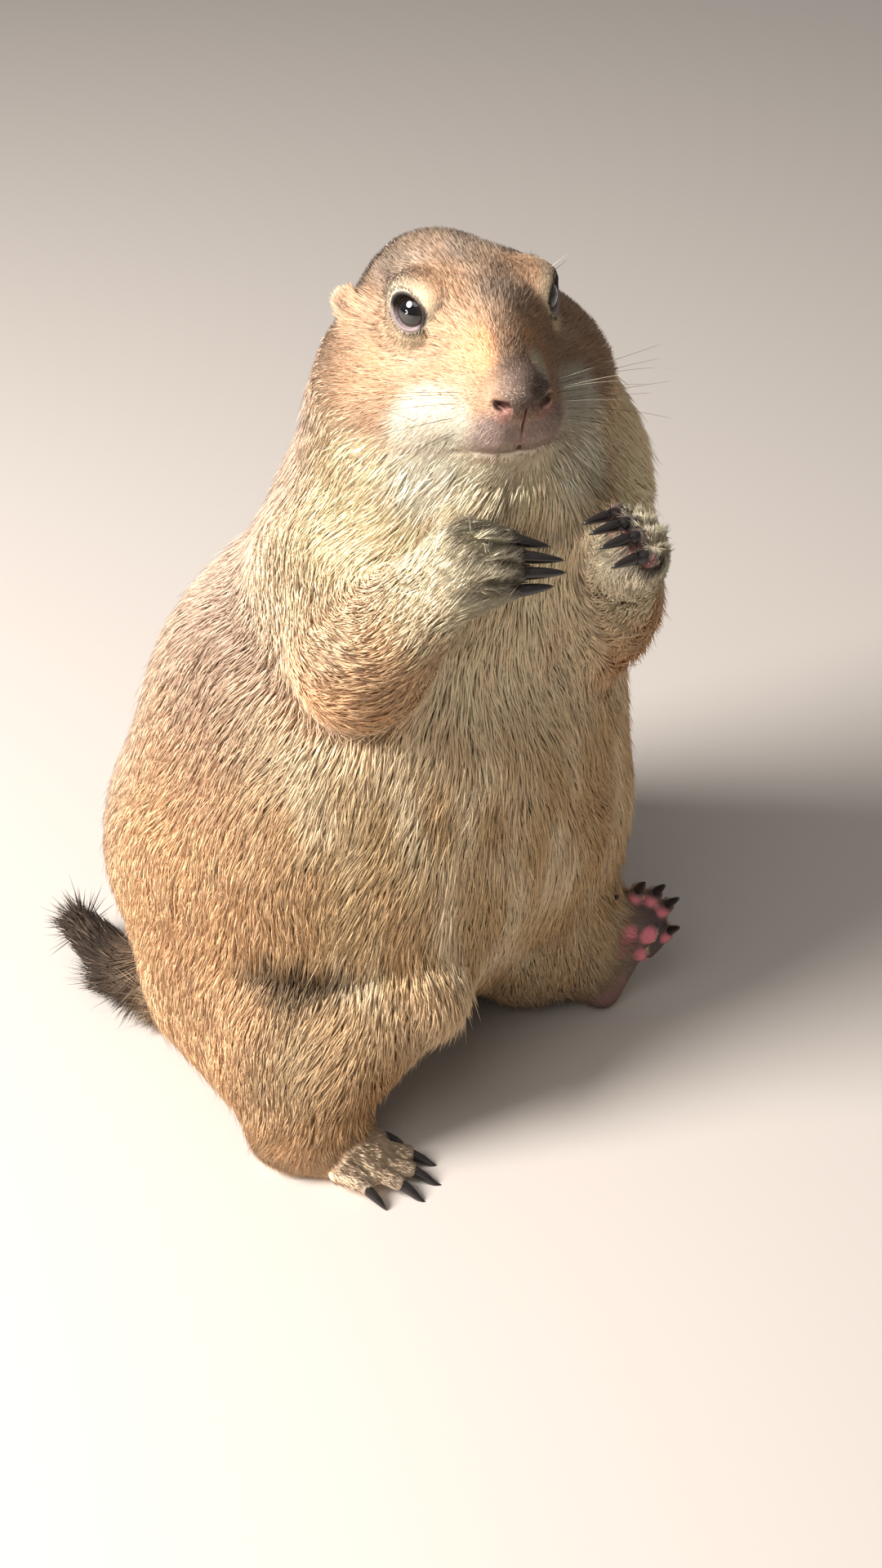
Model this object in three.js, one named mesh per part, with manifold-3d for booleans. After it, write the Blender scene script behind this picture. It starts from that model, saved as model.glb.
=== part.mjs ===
// A prairie dog sitting upright with both hands raised before its chest, life size, in millimetres.
// +Z is up, the animal faces -Y and its left side is +X. Every solid is a closed faceted body.
import * as THREE from "three";
import Module from "manifold-3d";

const kernel = await Module();
kernel.setup();

// Sizes shared by the whole animal
const GAP = 0.3;
const SPECK = 0.16;
const FLOOR = 0;
const BODY_CELL = 10.4;
const LIMB_CELL = 7.4;
const HEAD_CELL = [
  () => 3.6,
  (y) => (y < -52 ? 2.6 : y < -36 ? 3.8 : 6),
  (z) => (z < 200 ? 5 : z < 248 ? 3 : 5.5),
];
const HAND_CELL = 4.4;
const EAR_CELL = 1.7;

// Vectors are arrays of three numbers
const add = (a, b) => [a[0] + b[0], a[1] + b[1], a[2] + b[2]];
const sub = (a, b) => [a[0] - b[0], a[1] - b[1], a[2] - b[2]];
const times = (a, s) => [a[0] * s, a[1] * s, a[2] * s];
const dot = (a, b) => a[0] * b[0] + a[1] * b[1] + a[2] * b[2];
const cross = (a, b) => [a[1] * b[2] - a[2] * b[1], a[2] * b[0] - a[0] * b[2], a[0] * b[1] - a[1] * b[0]];
const unit = (a) => times(a, 1 / Math.hypot(...a));
const mix = (a, b, t) => add(times(a, 1 - t), times(b, t));

// A frame is three axes: across, along and out
const WORLD = [[1, 0, 0], [0, 1, 0], [0, 0, 1]];
const inFrame = (axes, v) => add(add(times(axes[0], v[0]), times(axes[1], v[1])), times(axes[2], v[2]));
function spun(v, axis, degrees) {
  const angle = (degrees * Math.PI) / 180;
  const held = times(axis, dot(axis, v) * (1 - Math.cos(angle)));
  return add(add(times(v, Math.cos(angle)), times(cross(axis, v), Math.sin(angle))), held);
}
const spunFrame = (axes, axis, degrees) => axes.map((v) => spun(v, axis, degrees));
function frameOf(along, out) {
  const a = unit(along);
  const o = unit(sub(out, times(a, dot(a, out))));
  return [cross(a, o), a, o];
}

// Soft masses: each one is a distance in millimetres, negative inside
function ball(centre, radii, axes = WORLD) {
  const [a, b, c] = axes;
  return (x, y, z) => {
    const px = x - centre[0];
    const py = y - centre[1];
    const pz = z - centre[2];
    const u = (px * a[0] + py * a[1] + pz * a[2]) / radii[0];
    const v = (px * b[0] + py * b[1] + pz * b[2]) / radii[1];
    const w = (px * c[0] + py * c[1] + pz * c[2]) / radii[2];
    const near = Math.sqrt(u * u + v * v + w * w);
    const steep = Math.hypot(u / radii[0], v / radii[1], w / radii[2]);
    return (near * (near - 1)) / Math.max(steep, 1e-9);
  };
}
function limb(from, to, fromRadius, toRadius) {
  const d = sub(to, from);
  const square = dot(d, d);
  return (x, y, z) => {
    const px = x - from[0];
    const py = y - from[1];
    const pz = z - from[2];
    const t = Math.min(1, Math.max(0, (px * d[0] + py * d[1] + pz * d[2]) / square));
    const far = Math.hypot(px - d[0] * t, py - d[1] * t, pz - d[2] * t);
    return far - fromRadius - (toRadius - fromRadius) * t;
  };
}
function softMin(a, b, k) {
  const h = Math.max(k - Math.abs(a - b), 0) / k;
  return Math.min(a, b) - (h * h * k) / 4;
}
function blend(masses) {
  return (x, y, z) => {
    let d = masses[0][0](x, y, z);
    for (let i = 1; i < masses.length; i++) d = softMin(d, masses[i][0](x, y, z), masses[i][1]);
    return d;
  };
}
function slopeAt(field, p) {
  const e = 0.2;
  const [x, y, z] = p;
  return [
    (field(x + e, y, z) - field(x - e, y, z)) / (2 * e),
    (field(x, y + e, z) - field(x, y - e, z)) / (2 * e),
    (field(x, y, z + e) - field(x, y, z - e)) / (2 * e),
  ];
}
function settled(field, p, level, rounds = 3) {
  let q = p;
  for (let i = 0; i < rounds; i++) {
    const slope = slopeAt(field, q);
    const steep = Math.max(dot(slope, slope), 0.05);
    q = sub(q, times(slope, (field(...q) - level) / steep));
  }
  return q;
}

// The closed surface of a soft mass inside a box, one vertex to a crossed cell, each set on the mass itself.
// A cell size is one number, or a function of the place along each axis
function rowsOf(low, high, sizeAt) {
  const rows = [low];
  while (rows[rows.length - 1] < high) rows.push(rows[rows.length - 1] + sizeAt(rows[rows.length - 1]));
  return rows;
}
const CORNERS = [0, 1, 2, 3, 4, 5, 6, 7].map((c) => [c & 1, (c >> 1) & 1, c >> 2]);
const FACES = [];
for (const [u, v, w] of [[1, 2, 4], [2, 4, 1], [4, 1, 2]]) {
  for (const base of [0, w]) FACES.push([base, base + u, base + u + v, base + v]);
}
// The crossed edges of a cell, grouped by the sheet of surface that crosses them
function sheetsOf(value) {
  const sheets = [];
  const sheetWith = (a, b) => sheets.find((sheet) => sheet.some(([p, q]) => p === a && q === b));
  const merge = (first, second) => {
    const [one, two] = [first, second].map(([a, b]) => {
      const edge = [Math.min(a, b), Math.max(a, b)];
      let sheet = sheetWith(...edge);
      if (!sheet) {
        sheet = [edge];
        sheets.push(sheet);
      }
      return sheet;
    });
    if (one === two) return;
    one.push(...two);
    sheets.splice(sheets.indexOf(two), 1);
  };
  for (const face of FACES) {
    const crossed = [];
    for (let s = 0; s < 4; s++) {
      const pair = [face[s], face[(s + 1) % 4]];
      if (value[pair[0]] < 0 !== value[pair[1]] < 0) crossed.push(pair);
    }
    if (crossed.length === 2) merge(crossed[0], crossed[1]);
    if (crossed.length === 4) {
      for (let s = 0; s < 4; s++) {
        if (value[face[s]] < 0) merge([face[s], face[(s + 1) % 4]], [face[(s + 3) % 4], face[s]]);
      }
    }
  }
  return sheets;
}
function surface(field, low, high, cell) {
  const sizes = Array.isArray(cell) ? cell : [() => cell, () => cell, () => cell];
  const rows = low.map((v, axis) => rowsOf(v, high[axis], sizes[axis]));
  const size = rows.map((r) => r.length);
  const index = (i, j, k) => i + size[0] * (j + size[1] * k);
  const values = new Float64Array(size[0] * size[1] * size[2]);
  const place = (i, j, k) => [rows[0][i], rows[1][j], rows[2][k]];
  const onRim = (i, j, k) => [i, j, k].some((v, axis) => v === 0 || v === size[axis] - 1);
  for (let k = 0; k < size[2]; k++)
    for (let j = 0; j < size[1]; j++)
      for (let i = 0; i < size[0]; i++) {
        const value = field(...place(i, j, k));
        values[index(i, j, k)] = onRim(i, j, k) ? Math.max(value, 1) : value;
      }
  const vertices = [];
  const vertexOf = new Map();
  for (let k = 0; k < size[2] - 1; k++)
    for (let j = 0; j < size[1] - 1; j++)
      for (let i = 0; i < size[0] - 1; i++) {
        const value = CORNERS.map((c) => values[index(i + c[0], j + c[1], k + c[2])]);
        const corner = place(i, j, k);
        const span = sub(place(i + 1, j + 1, k + 1), corner);
        const onEdge = CORNERS.some((c) => onRim(i + c[0], j + c[1], k + c[2]));
        for (const sheet of sheetsOf(value)) {
          let sum = [0, 0, 0];
          for (const [a, b] of sheet) {
            const t = value[a] / (value[a] - value[b]);
            sum = add(sum, mix(CORNERS[a], CORNERS[b], t));
            vertexOf.set(`${index(i, j, k)} ${a} ${b}`, vertices.length);
          }
          let p = corner.map((v, axis) => v + (sum[axis] / sheet.length) * span[axis]);
          if (!onEdge) {
            const q = settled(field, p, 0);
            const off = sub(q, add(corner, times(span, 0.5)));
            if (off.every((v, axis) => Math.abs(v) < span[axis] * 0.75)) p = q;
          }
          vertices.push(p);
        }
      }
  const triangles = [];
  const steps = [[1, 0, 0], [0, 1, 0], [0, 0, 1]];
  for (let k = 0; k < size[2] - 1; k++)
    for (let j = 0; j < size[1] - 1; j++)
      for (let i = 0; i < size[0] - 1; i++)
        for (let axis = 0; axis < 3; axis++) {
          const s = steps[axis];
          const inside = values[index(i, j, k)] < 0;
          if (inside === values[index(i + s[0], j + s[1], k + s[2])] < 0) continue;
          const u = steps[(axis + 1) % 3];
          const v = steps[(axis + 2) % 3];
          const around = [[0, 0], [1, 0], [1, 1], [0, 1]].map(([p, q]) => {
            const cellAt = index(i - p * u[0] - q * v[0], j - p * u[1] - q * v[1], k - p * u[2] - q * v[2]);
            const a = p * (1 << (axis + 1) % 3) + q * (1 << (axis + 2) % 3);
            return vertexOf.get(`${cellAt} ${a} ${a + (1 << axis)}`);
          });
          if (!inside) around.reverse();
          const [a, b, c, d] = around;
          const across = Math.hypot(...sub(vertices[a], vertices[c]));
          const other = Math.hypot(...sub(vertices[b], vertices[d]));
          if (across < other) triangles.push(a, b, c, a, c, d);
          else triangles.push(a, b, d, b, c, d);
        }
  return { vertices, triangles };
}
const grown = (shape, field, by) => ({
  vertices: shape.vertices.map((p) => settled(field, p, by)),
  triangles: shape.triangles,
});

// Solids made from faceted shapes
function solidOf({ vertices, triangles }) {
  const made = new kernel.Mesh({
    numProp: 3,
    vertProperties: new Float32Array(vertices.flat()),
    triVerts: new Uint32Array(triangles),
  });
  return new kernel.Manifold(made);
}
const joined = (solids) => solids.reduce((whole, solid) => whole.add(solid));
function largest(solid) {
  const bodies = solid.decompose();
  return bodies.reduce((best, body) => (body.volume() > best.volume() ? body : best));
}
const keptAbove = (solid, point, normal) => {
  const n = unit(normal);
  return solid.trimByPlane(n, dot(n, point) + GAP / 2);
};
const keptBelow = (solid, point, normal) => keptAbove(solid, point, times(normal, -1));

// A closed tapered tube along a path, round or flattened; the ends close in a point
function tube(path, radii, sides, out = [0, 0, 1], flat = 1) {
  const vertices = [path[0]];
  const triangles = [];
  const last = path.length - 1;
  let up = out;
  for (let i = 1; i < last; i++) {
    const [across, , raised] = frameOf(sub(path[i + 1], path[i - 1]), up);
    up = raised;
    for (let s = 0; s < sides; s++) {
      const angle = (2 * Math.PI * s) / sides;
      const side = times(across, Math.cos(angle) * radii[i]);
      vertices.push(add(path[i], add(side, times(raised, Math.sin(angle) * radii[i] * flat))));
    }
  }
  vertices.push(path[last]);
  const ring = (i, s) => 1 + (i - 1) * sides + (s % sides);
  for (let s = 0; s < sides; s++) {
    triangles.push(0, ring(1, s), ring(1, s + 1));
    triangles.push(vertices.length - 1, ring(last - 1, s + 1), ring(last - 1, s));
    for (let i = 1; i < last - 1; i++) {
      triangles.push(ring(i, s), ring(i + 1, s), ring(i + 1, s + 1));
      triangles.push(ring(i, s), ring(i + 1, s + 1), ring(i, s + 1));
    }
  }
  return solidOf({ vertices, triangles });
}
// A closed egg with the given half sizes, turned into a frame
function egg(centre, radii, axes = WORLD, around = 16, rows = 10) {
  const path = [];
  const widths = [];
  for (let i = 0; i <= rows; i++) {
    const angle = (Math.PI * i) / rows;
    path.push(add(centre, times(axes[1], -Math.cos(angle) * radii[1])));
    widths.push(Math.sin(angle) * radii[0]);
  }
  return tube(path, widths, around, axes[2], radii[2] / radii[0]);
}

// The head's own frame: x to the animal's left, -y to the nose, z to the crown
const HEAD_AT = [8, -31, 241];
const HEAD_AXES = spunFrame(spunFrame(spunFrame(WORLD, WORLD[0], -5), WORLD[1], 2), WORLD[2], -13);
const head = (x, y, z) => add(HEAD_AT, inFrame(HEAD_AXES, [x, y, z]));
const EYE_RADIUS = 6.2;
const EYE_AT = { right: [-16, -13.5, 6.2], left: [13.8, -14.2, 6.2] };
const EYE = (side) => head(...(side < 0 ? EYE_AT.right : EYE_AT.left));
const EYE_LOOKS = (side) => unit(inFrame(HEAD_AXES, [side * 0.86, -0.5, 0.12]));
const EAR_AT = { right: [-25, 7.5, -0.5], left: [22, 17, -11] };
const eyeAxes = (side) => spunFrame(frameOf(EYE_LOOKS(side), HEAD_AXES[2]), EYE_LOOKS(side), side * 22);

// The trunk from rump to neck
const TRUNK = [
  [ball([0, 14, 58], [80, 70, 60]), 0],
  [ball([-1, -5, 84], [79, 68, 62]), 20],
  [ball([3, -5, 124], [71, 60, 49]), 24],
  [ball([16, -17, 167], [52, 43, 39]), 24],
  [limb([22, -19, 187], head(4, 8, -33), 48.5, 42.5), 22],
  [ball([35, -20, 64], [38, 36, 38]), 14],
];
const SKULL = [
  [ball(head(-2.5, 8, -1), [19, 25, 20.3], HEAD_AXES), 10],
  [ball(head(-1, -8, 1), [18.5, 20, 16], HEAD_AXES), 10],
  [limb(head(0, -14, -8), head(0, -30, -11), 15.5, 10.5), 10],
  [ball(head(-16.5, 1, -16), [18, 23, 17], HEAD_AXES), 10],
  [ball(head(19, 2, -18.5), [22.5, 24, 18], HEAD_AXES), 9],
  [ball(head(-6, -31, -18), [8.5, 8.5, 8], HEAD_AXES), 5],
  [ball(head(6, -31, -18), [8.5, 8.5, 8], HEAD_AXES), 5],
  [ball(head(0, -26, -26.5), [10.5, 9.5, 6.5], HEAD_AXES), 6],
  [ball(head(0, -36.5, -9), [7.8, 5.6, 6], HEAD_AXES), 4],
  [ball(head(1, -8, -36), [27, 19, 15], HEAD_AXES), 12],
  [ball(head(-13, -21, -19), [9, 9, 9], HEAD_AXES), 9],
  [ball(head(13, -21, -19), [9, 9, 9], HEAD_AXES), 9],
];
for (const side of [-1, 1]) {
  SKULL.push([ball(head(side < 0 ? -15.5 : 13.5, -10.5, 10.5), [7, 10, 4.5], HEAD_AXES), 8]);
  SKULL.push([ball(EYE(side), [7.4, 7.4, 7.4]), 2.5]);
}
const bodyField = blend([...TRUNK, ...SKULL]);

// Arms and legs; each list starts at the trunk and its last masses are the hand or the foot
const WRIST = { right: [-20, -70, 193], left: [29, -77, 182] };
const HAND_AXES = {
  right: frameOf([0.58, -0.79, 0.21], [-0.74, -0.4, 0.53]),
  left: frameOf([0.11, -0.45, 0.88], [0.99, -0.05, 0.05]),
};
const ELBOW = { right: [-37, -49, 161], left: [43, -49, 151] };
const SHOULDER = { right: [-24, -20, 170], left: [46, -20, 172] };
const palm = (side) => add(WRIST[side], times(HAND_AXES[side][1], 5));
const ARM = (side) => [
  [limb(SHOULDER[side], ELBOW[side], 22, 17), 16],
  [limb(ELBOW[side], WRIST[side], 16, 10), 10],
  [ball(palm(side), [9.5, 9.5, 7], HAND_AXES[side]), 4],
];
const HEEL = { right: [-70, -50, 6.5], left: [52, -50, 6] };
const FOOT_AXES = {
  right: frameOf([0.66, -0.75, -0.04], [0, 0, 1]),
  left: frameOf([0.45, -0.1, 0.88], [0.48, 0.66, -0.3]),
};
const sole = (side) => add(HEEL[side], times(FOOT_AXES[side][1], 25));
const LEG = {
  right: [
    [limb([-50, -4, 33], [-54, -36, 30], 34, 29), 12],
    [limb([-46, -40, 40], [-27, -62, 51], 26, 15), 12],
    [limb([-42, -52, 41], [-64, -53, 14], 19, 13), 8],
    [limb(HEEL.right, sole("right"), 7.5, 7), 5],
    [ball(sole("right"), [10.5, 9, 6], FOOT_AXES.right), 3],
  ],
  left: [
    [limb([44, 2, 34], [38, -28, 28], 35, 29), 12],
    [limb([50, -26, 30], [56, -38, 16], 20, 11), 8],
    [limb(HEEL.left, sole("left"), 7, 7), 5],
    [ball(sole("left"), [10.5, 9, 6], FOOT_AXES.left), 3],
  ],
};

// Digits with claws: fingers and toes fan out from the end of the palm or sole
function digits(root, axes, look) {
  const [across, along, out] = axes;
  const made = [];
  look.lengths.forEach((length, i) => {
    const place = (2 * i) / (look.lengths.length - 1) - 1;
    const way = spun(along, out, -look.fan * place);
    const from = add(root, add(times(across, look.spread * place), times(along, -look.drop[i])));
    const bent = (degrees) => {
      const angle = (degrees * Math.PI) / 180;
      return sub(times(way, Math.cos(angle)), times(out, Math.sin(angle)));
    };
    const path = [sub(from, times(bent(look.bend[0]), look.thick))];
    const widths = [0];
    const steps = 3;
    let at = from;
    for (let s = 0; s <= steps; s++) {
      path.push(at);
      widths.push(look.thick * (1 - 0.16 * (s / steps)) * (s === steps ? 0.86 : 1));
      at = add(at, times(bent(look.bend[0] + ((look.bend[1] - look.bend[0]) * s) / steps), length / steps));
    }
    path.push(add(path[path.length - 1], times(bent(look.bend[1]), look.thick * 0.7)));
    widths.push(0);
    made.push(tube(path, widths, 6, out));
    const claw = [sub(path[path.length - 2], times(bent(look.bend[1]), 3))];
    const clawWidths = [0];
    const rows = 4;
    let tip = add(claw[0], times(bent(look.bend[1]), 1));
    for (let s = 0; s < rows; s++) {
      claw.push(tip);
      clawWidths.push(look.claw * (1 - 0.8 * (s / rows) ** 2.4));
      const turn = look.bend[1] + (look.bend[2] - look.bend[1]) * (s / (rows - 1));
      tip = add(tip, times(bent(turn), (look.reach[i] + 3) / rows));
    }
    claw.push(tip);
    clawWidths.push(0);
    made.push(tube(claw, clawWidths, 5, out, 1.15));
  });
  return made;
}
const FINGERS = {
  right: {
    lengths: [6, 7, 7.5, 6.5], reach: [10.5, 11.5, 11.5, 10.5], drop: [1.5, 0, 0, 1],
    spread: 7.8, fan: -11, bend: [8, 22, 50], thick: 2.6, claw: 1.75,
  },
  left: {
    lengths: [7, 8.5, 9, 7.5], reach: [11.5, 12.5, 12.5, 11.5], drop: [1.5, 0, 0, 1],
    spread: 7.5, fan: -6, bend: [20, 80, 104], thick: 2.6, claw: 1.75,
  },
};
const TOES = {
  right: {
    lengths: [7, 10, 11, 10, 7], reach: [8, 10, 11, 10, 8], drop: [7, 1, 0, 1, 6],
    spread: 8.5, fan: 20, bend: [-6, 16, 42], thick: 2.7, claw: 1.6,
  },
  left: {
    lengths: [7, 9, 10, 9, 7], reach: [7, 9, 9, 9, 7], drop: [7, 1, 0, 1, 6],
    spread: 8.5, fan: 13, bend: [-4, 30, 60], thick: 2.7, claw: 1.6,
  },
};

// The tail lies on the floor beside the rump: a slim core to its middle, then a brush of flat locks
const TAIL_PATH = [[-38, 36, 12], [-60, 25, 11], [-71, 40, 12], [-72, 64, 13]];
const TAIL_RADII = [9, 8, 5.5, 3.4];
const TAIL_END = [-70, 96, 13];
const TAIL_CORE = [];
for (let i = 0; i < TAIL_PATH.length - 1; i++) {
  TAIL_CORE.push([limb(TAIL_PATH[i], TAIL_PATH[i + 1], TAIL_RADII[i], TAIL_RADII[i + 1]), 3]);
}
const tailField = blend(TAIL_CORE);
const LOCK = { rows: 6, around: 5, width: 3.2, flat: 0.36, shortest: 16, longest: 24, spread: 8 };
const LOCK_FLOOR = 1.4;

// One flat tapered lock from a root inside the core, lifting off it and then lying along it
function lock(root, along, out, length, spread) {
  const path = [];
  const widths = [];
  const share = [0, 0.12, 0.45, 0.78, 1];
  const width = [0, 0.75, 1, 0.62, 0];
  share.forEach((t, i) => {
    const lift = spread * Math.sin((t * Math.PI) / 2) ** 1.3;
    const at = add(root, add(times(along, length * t), times(out, lift)));
    path.push([at[0], at[1], Math.max(at[2], LOCK_FLOOR + (2 - 1.6 * t))]);
    widths.push(LOCK.width * width[i]);
  });
  return tube(path, widths, 4, out, LOCK.flat);
}
function brush() {
  const made = [];
  for (let row = 0; row < LOCK.rows; row++) {
    const t = row / (LOCK.rows - 1);
    const bend = Math.min(1, t * 2.2);
    const start = mix(TAIL_PATH[1], TAIL_PATH[2], 0.45 + 0.55 * bend);
    const root = mix(start, TAIL_PATH[3], Math.max(0, t - 0.2) / 0.8);
    const next = mix(TAIL_PATH[3], TAIL_END, t);
    const [across, along, up] = frameOf(sub(next, root), [0, 0, 1]);
    for (let turn = 0; turn < LOCK.around; turn++) {
      const angle = (2 * Math.PI * (turn + 0.5 * (row % 2))) / LOCK.around;
      const out = add(times(across, Math.cos(angle)), times(up, Math.sin(angle)));
      const vary = 0.5 + 0.5 * Math.sin(row * 2.3 + turn * 4.1);
      const length = LOCK.shortest + (LOCK.longest - LOCK.shortest) * t + 4 * vary;
      const spread = LOCK.spread * (1 - 0.45 * t) * (0.85 + 0.3 * vary);
      made.push(lock(add(root, times(out, 1.5)), along, out, length, spread));
    }
  }
  return made;
}

// Solids of the trunk, cut where the neck and the waist are
const trunkShape = surface(bodyField, [-95, -90, -12], [100, 100, 285], BODY_CELL);
const trunkSolid = solidOf(trunkShape);
const trunkGrown = solidOf(grown(trunkShape, bodyField, GAP + 0.05));
const NECK_POINT = head(0, 0, -34);
const NECK_NORMAL = inFrame(HEAD_AXES, [0, -0.45, 0.9]);
const CHEST_POINT = [12, -16, 186];
const CHEST_NORMAL = [0, -0.25, 1];
const WAIST_POINT = [0, 0, 112];
const WAIST_NORMAL = [0, -0.1, 1];
const onFloor = (solid) => solid.trimByPlane([0, 0, 1], FLOOR);

const solids = {};
solids.neck = keptAbove(keptBelow(trunkSolid, NECK_POINT, NECK_NORMAL), CHEST_POINT, CHEST_NORMAL);
solids.chest = keptAbove(keptBelow(trunkSolid, CHEST_POINT, CHEST_NORMAL), WAIST_POINT, WAIST_NORMAL);
solids.abdomen = onFloor(keptBelow(trunkSolid, WAIST_POINT, WAIST_NORMAL));

// The head with its sockets, nostrils and mouth
const headShape = surface(bodyField, [-45, -95, 190], [60, 22, 280], HEAD_CELL);
const headGrown = solidOf(grown(headShape, bodyField, GAP + 0.05));
let headSolid = keptAbove(solidOf(headShape), NECK_POINT, NECK_NORMAL);
for (const side of [-1, 1]) {
  headSolid = headSolid.subtract(egg(EYE(side), [6.5, 6.5, 6.5], WORLD, 18, 10));
  const slit = add(EYE(side), times(EYE_LOOKS(side), 7));
  headSolid = headSolid.subtract(egg(slit, [5.4, 5, 4.3], eyeAxes(side), 20, 10));
  const nostril = spunFrame(HEAD_AXES, HEAD_AXES[1], -25 * side);
  headSolid = headSolid.subtract(egg(head(side * 6.4, -40.6, -10.4), [2.4, 3, 1.3], nostril, 8, 6));
}
headSolid = headSolid.subtract(egg(head(0, -30, -24), [12, 10.5, 0.7], HEAD_AXES, 20, 8));
headSolid = headSolid.subtract(egg(head(0, -40.5, -18), [0.6, 2.6, 6.5], HEAD_AXES, 8, 8));
solids.head = headSolid;
for (const [name, side] of [["right", -1], ["left", 1]]) {
  solids["eye_" + name] = egg(EYE(side), [EYE_RADIUS, EYE_RADIUS, EYE_RADIUS], WORLD, 16, 10);
  const earAt = settled(bodyField, head(...EAR_AT[name]), 0.4);
  const earAxes = spunFrame(HEAD_AXES, HEAD_AXES[2], -30 * side);
  const lobe = ball(earAt, [3, 5.5, 6], earAxes);
  const cup = ball(add(earAt, inFrame(earAxes, [side * 2.6, -2.2, 0])), [2.4, 2.6, 3.6], earAxes);
  const earField = (x, y, z) => -softMin(-lobe(x, y, z), cup(x, y, z), 1);
  const low = sub(earAt, [11, 11, 11]);
  const ear = solidOf(surface(earField, low, add(low, [22, 22, 22]), EAR_CELL));
  solids["ear_" + name] = largest(ear.subtract(headGrown));
}

// Limbs: one soft solid each, freed from the trunk and cut at its joints
const SKIRT = 10;
function limbSolid(masses, low, high) {
  const field = blend([[bodyField, 0], ...masses]);
  const own = blend(masses);
  const reach = solidOf(surface((x, y, z) => own(x, y, z) - SKIRT, low, high, LIMB_CELL * 1.6));
  return largest(solidOf(surface(field, low, high, LIMB_CELL)).intersect(reach).subtract(trunkGrown));
}
for (const [name, sign] of [["right", -1], ["left", 1]]) {
  const shoulderSide = sign * 40 + 5;
  const arm = limbSolid(ARM(name), [shoulderSide - 50, -110, 95], [shoulderSide + 50, 30, 225]);
  const elbowNormal = sub(unit(sub(WRIST[name], ELBOW[name])), unit(sub(SHOULDER[name], ELBOW[name])));
  const wristPoint = sub(WRIST[name], times(HAND_AXES[name][1], 1));
  const wristNormal = add(HAND_AXES[name][1], unit(sub(WRIST[name], ELBOW[name])));
  solids["upper_arm_" + name] = largest(keptBelow(arm, ELBOW[name], elbowNormal));
  const below = keptAbove(arm, ELBOW[name], elbowNormal);
  solids["forearm_" + name] = largest(keptBelow(below, wristPoint, wristNormal));
  const handField = blend([[bodyField, 0], ...ARM(name)]);
  const corner = sub(palm(name), [20, 20, 20]);
  const heel = solidOf(surface(handField, corner, add(corner, [40, 40, 40]), HAND_CELL));
  const root = add(palm(name), times(HAND_AXES[name][1], 3));
  const hand = joined([heel, ...digits(root, HAND_AXES[name], FINGERS[name])]);
  const free = keptAbove(hand, wristPoint, wristNormal).subtract(trunkGrown).subtract(headGrown);
  solids["hand_" + name] = largest(free);
}
for (const [name, sign] of [["right", -1], ["left", 1]]) {
  const low = [Math.min(sign * 15, sign * 105), -115, -12];
  const high = [Math.max(sign * 15, sign * 105), 60, 100];
  const leg = limbSolid(LEG[name], low, high);
  const axes = FOOT_AXES[name];
  const anklePoint = add(HEEL[name], name === "right" ? times(axes[1], 7) : times(axes[2], 5));
  const root = add(sole(name), times(axes[1], 3));
  const foot = joined([leg, ...digits(root, axes, TOES[name])]);
  const ankle = name === "right" ? [0.3, -0.6, -0.7] : times(axes[2], -1);
  solids["foot_" + name] = onFloor(largest(keptAbove(foot, anklePoint, ankle)));
  solids["leg_" + name] = onFloor(largest(keptBelow(leg, anklePoint, ankle)));
}
const besideTail = blend([[bodyField, 0], ...LEG.right]);
const besideShape = surface(besideTail, [-105, -60, -12], [0, 110, 60], LIMB_CELL);
const besideGrown = solidOf(grown(besideShape, besideTail, GAP + 0.2));
const tailShape = surface(tailField, [-100, -12, -8], [-20, 120, 30], HAND_CELL * 1.5);
const tailSolid = joined([solidOf(tailShape), ...brush()]);
solids.tail = onFloor(largest(tailSolid.subtract(besideGrown).subtract(trunkGrown)));

// Colours read off the animal
const LOOKS = {
  head: [0xb59a78, 0.85], ear: [0xc9ab85, 0.85], eye: [0x0c0a09, 0.1], neck: [0xd9b98a, 0.85],
  chest: [0xc29468, 0.85], abdomen: [0xb78f63, 0.85], upper_arm: [0xc9925c, 0.85],
  forearm: [0xd0975e, 0.85], hand: [0xcdbb9b, 0.75], leg: [0xc5a672, 0.85],
  foot: [0xc99a72, 0.75], tail: [0x3a3130, 0.85],
};
const group = new THREE.Group();
group.name = "prairie_dog";
for (const [name, solid] of Object.entries(solids)) {
  const made = largest(solid.simplify(SPECK).simplify(SPECK)).getMesh();
  const positions = new Float32Array(made.numVert * 3);
  for (let i = 0; i < made.numVert; i++) {
    positions.set(made.vertProperties.subarray(i * made.numProp, i * made.numProp + 3), i * 3);
  }
  const geometry = new THREE.BufferGeometry();
  geometry.setAttribute("position", new THREE.BufferAttribute(positions, 3));
  geometry.setIndex(new THREE.BufferAttribute(new Uint32Array(made.triVerts), 1));
  geometry.computeVertexNormals();
  const [color, roughness] = LOOKS[name.replace(/_(left|right)$/, "")];
  const mesh = new THREE.Mesh(geometry, new THREE.MeshStandardMaterial({ color, roughness, metalness: 0 }));
  mesh.name = name;
  group.add(mesh);
}

// The origin is under the middle of the animal, on the floor
const bounds = new THREE.Box3().setFromObject(group);
const centre = bounds.getCenter(new THREE.Vector3());
group.position.set(-centre.x, -centre.y, -bounds.min.z);

export default group;
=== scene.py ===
# A prairie dog sitting upright with both hands raised before its chest, life size, as a museum model.
# Shapes are worked out in millimetres, x to the animal's left, -y to its front, z up, and made in metres.
import math

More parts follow.
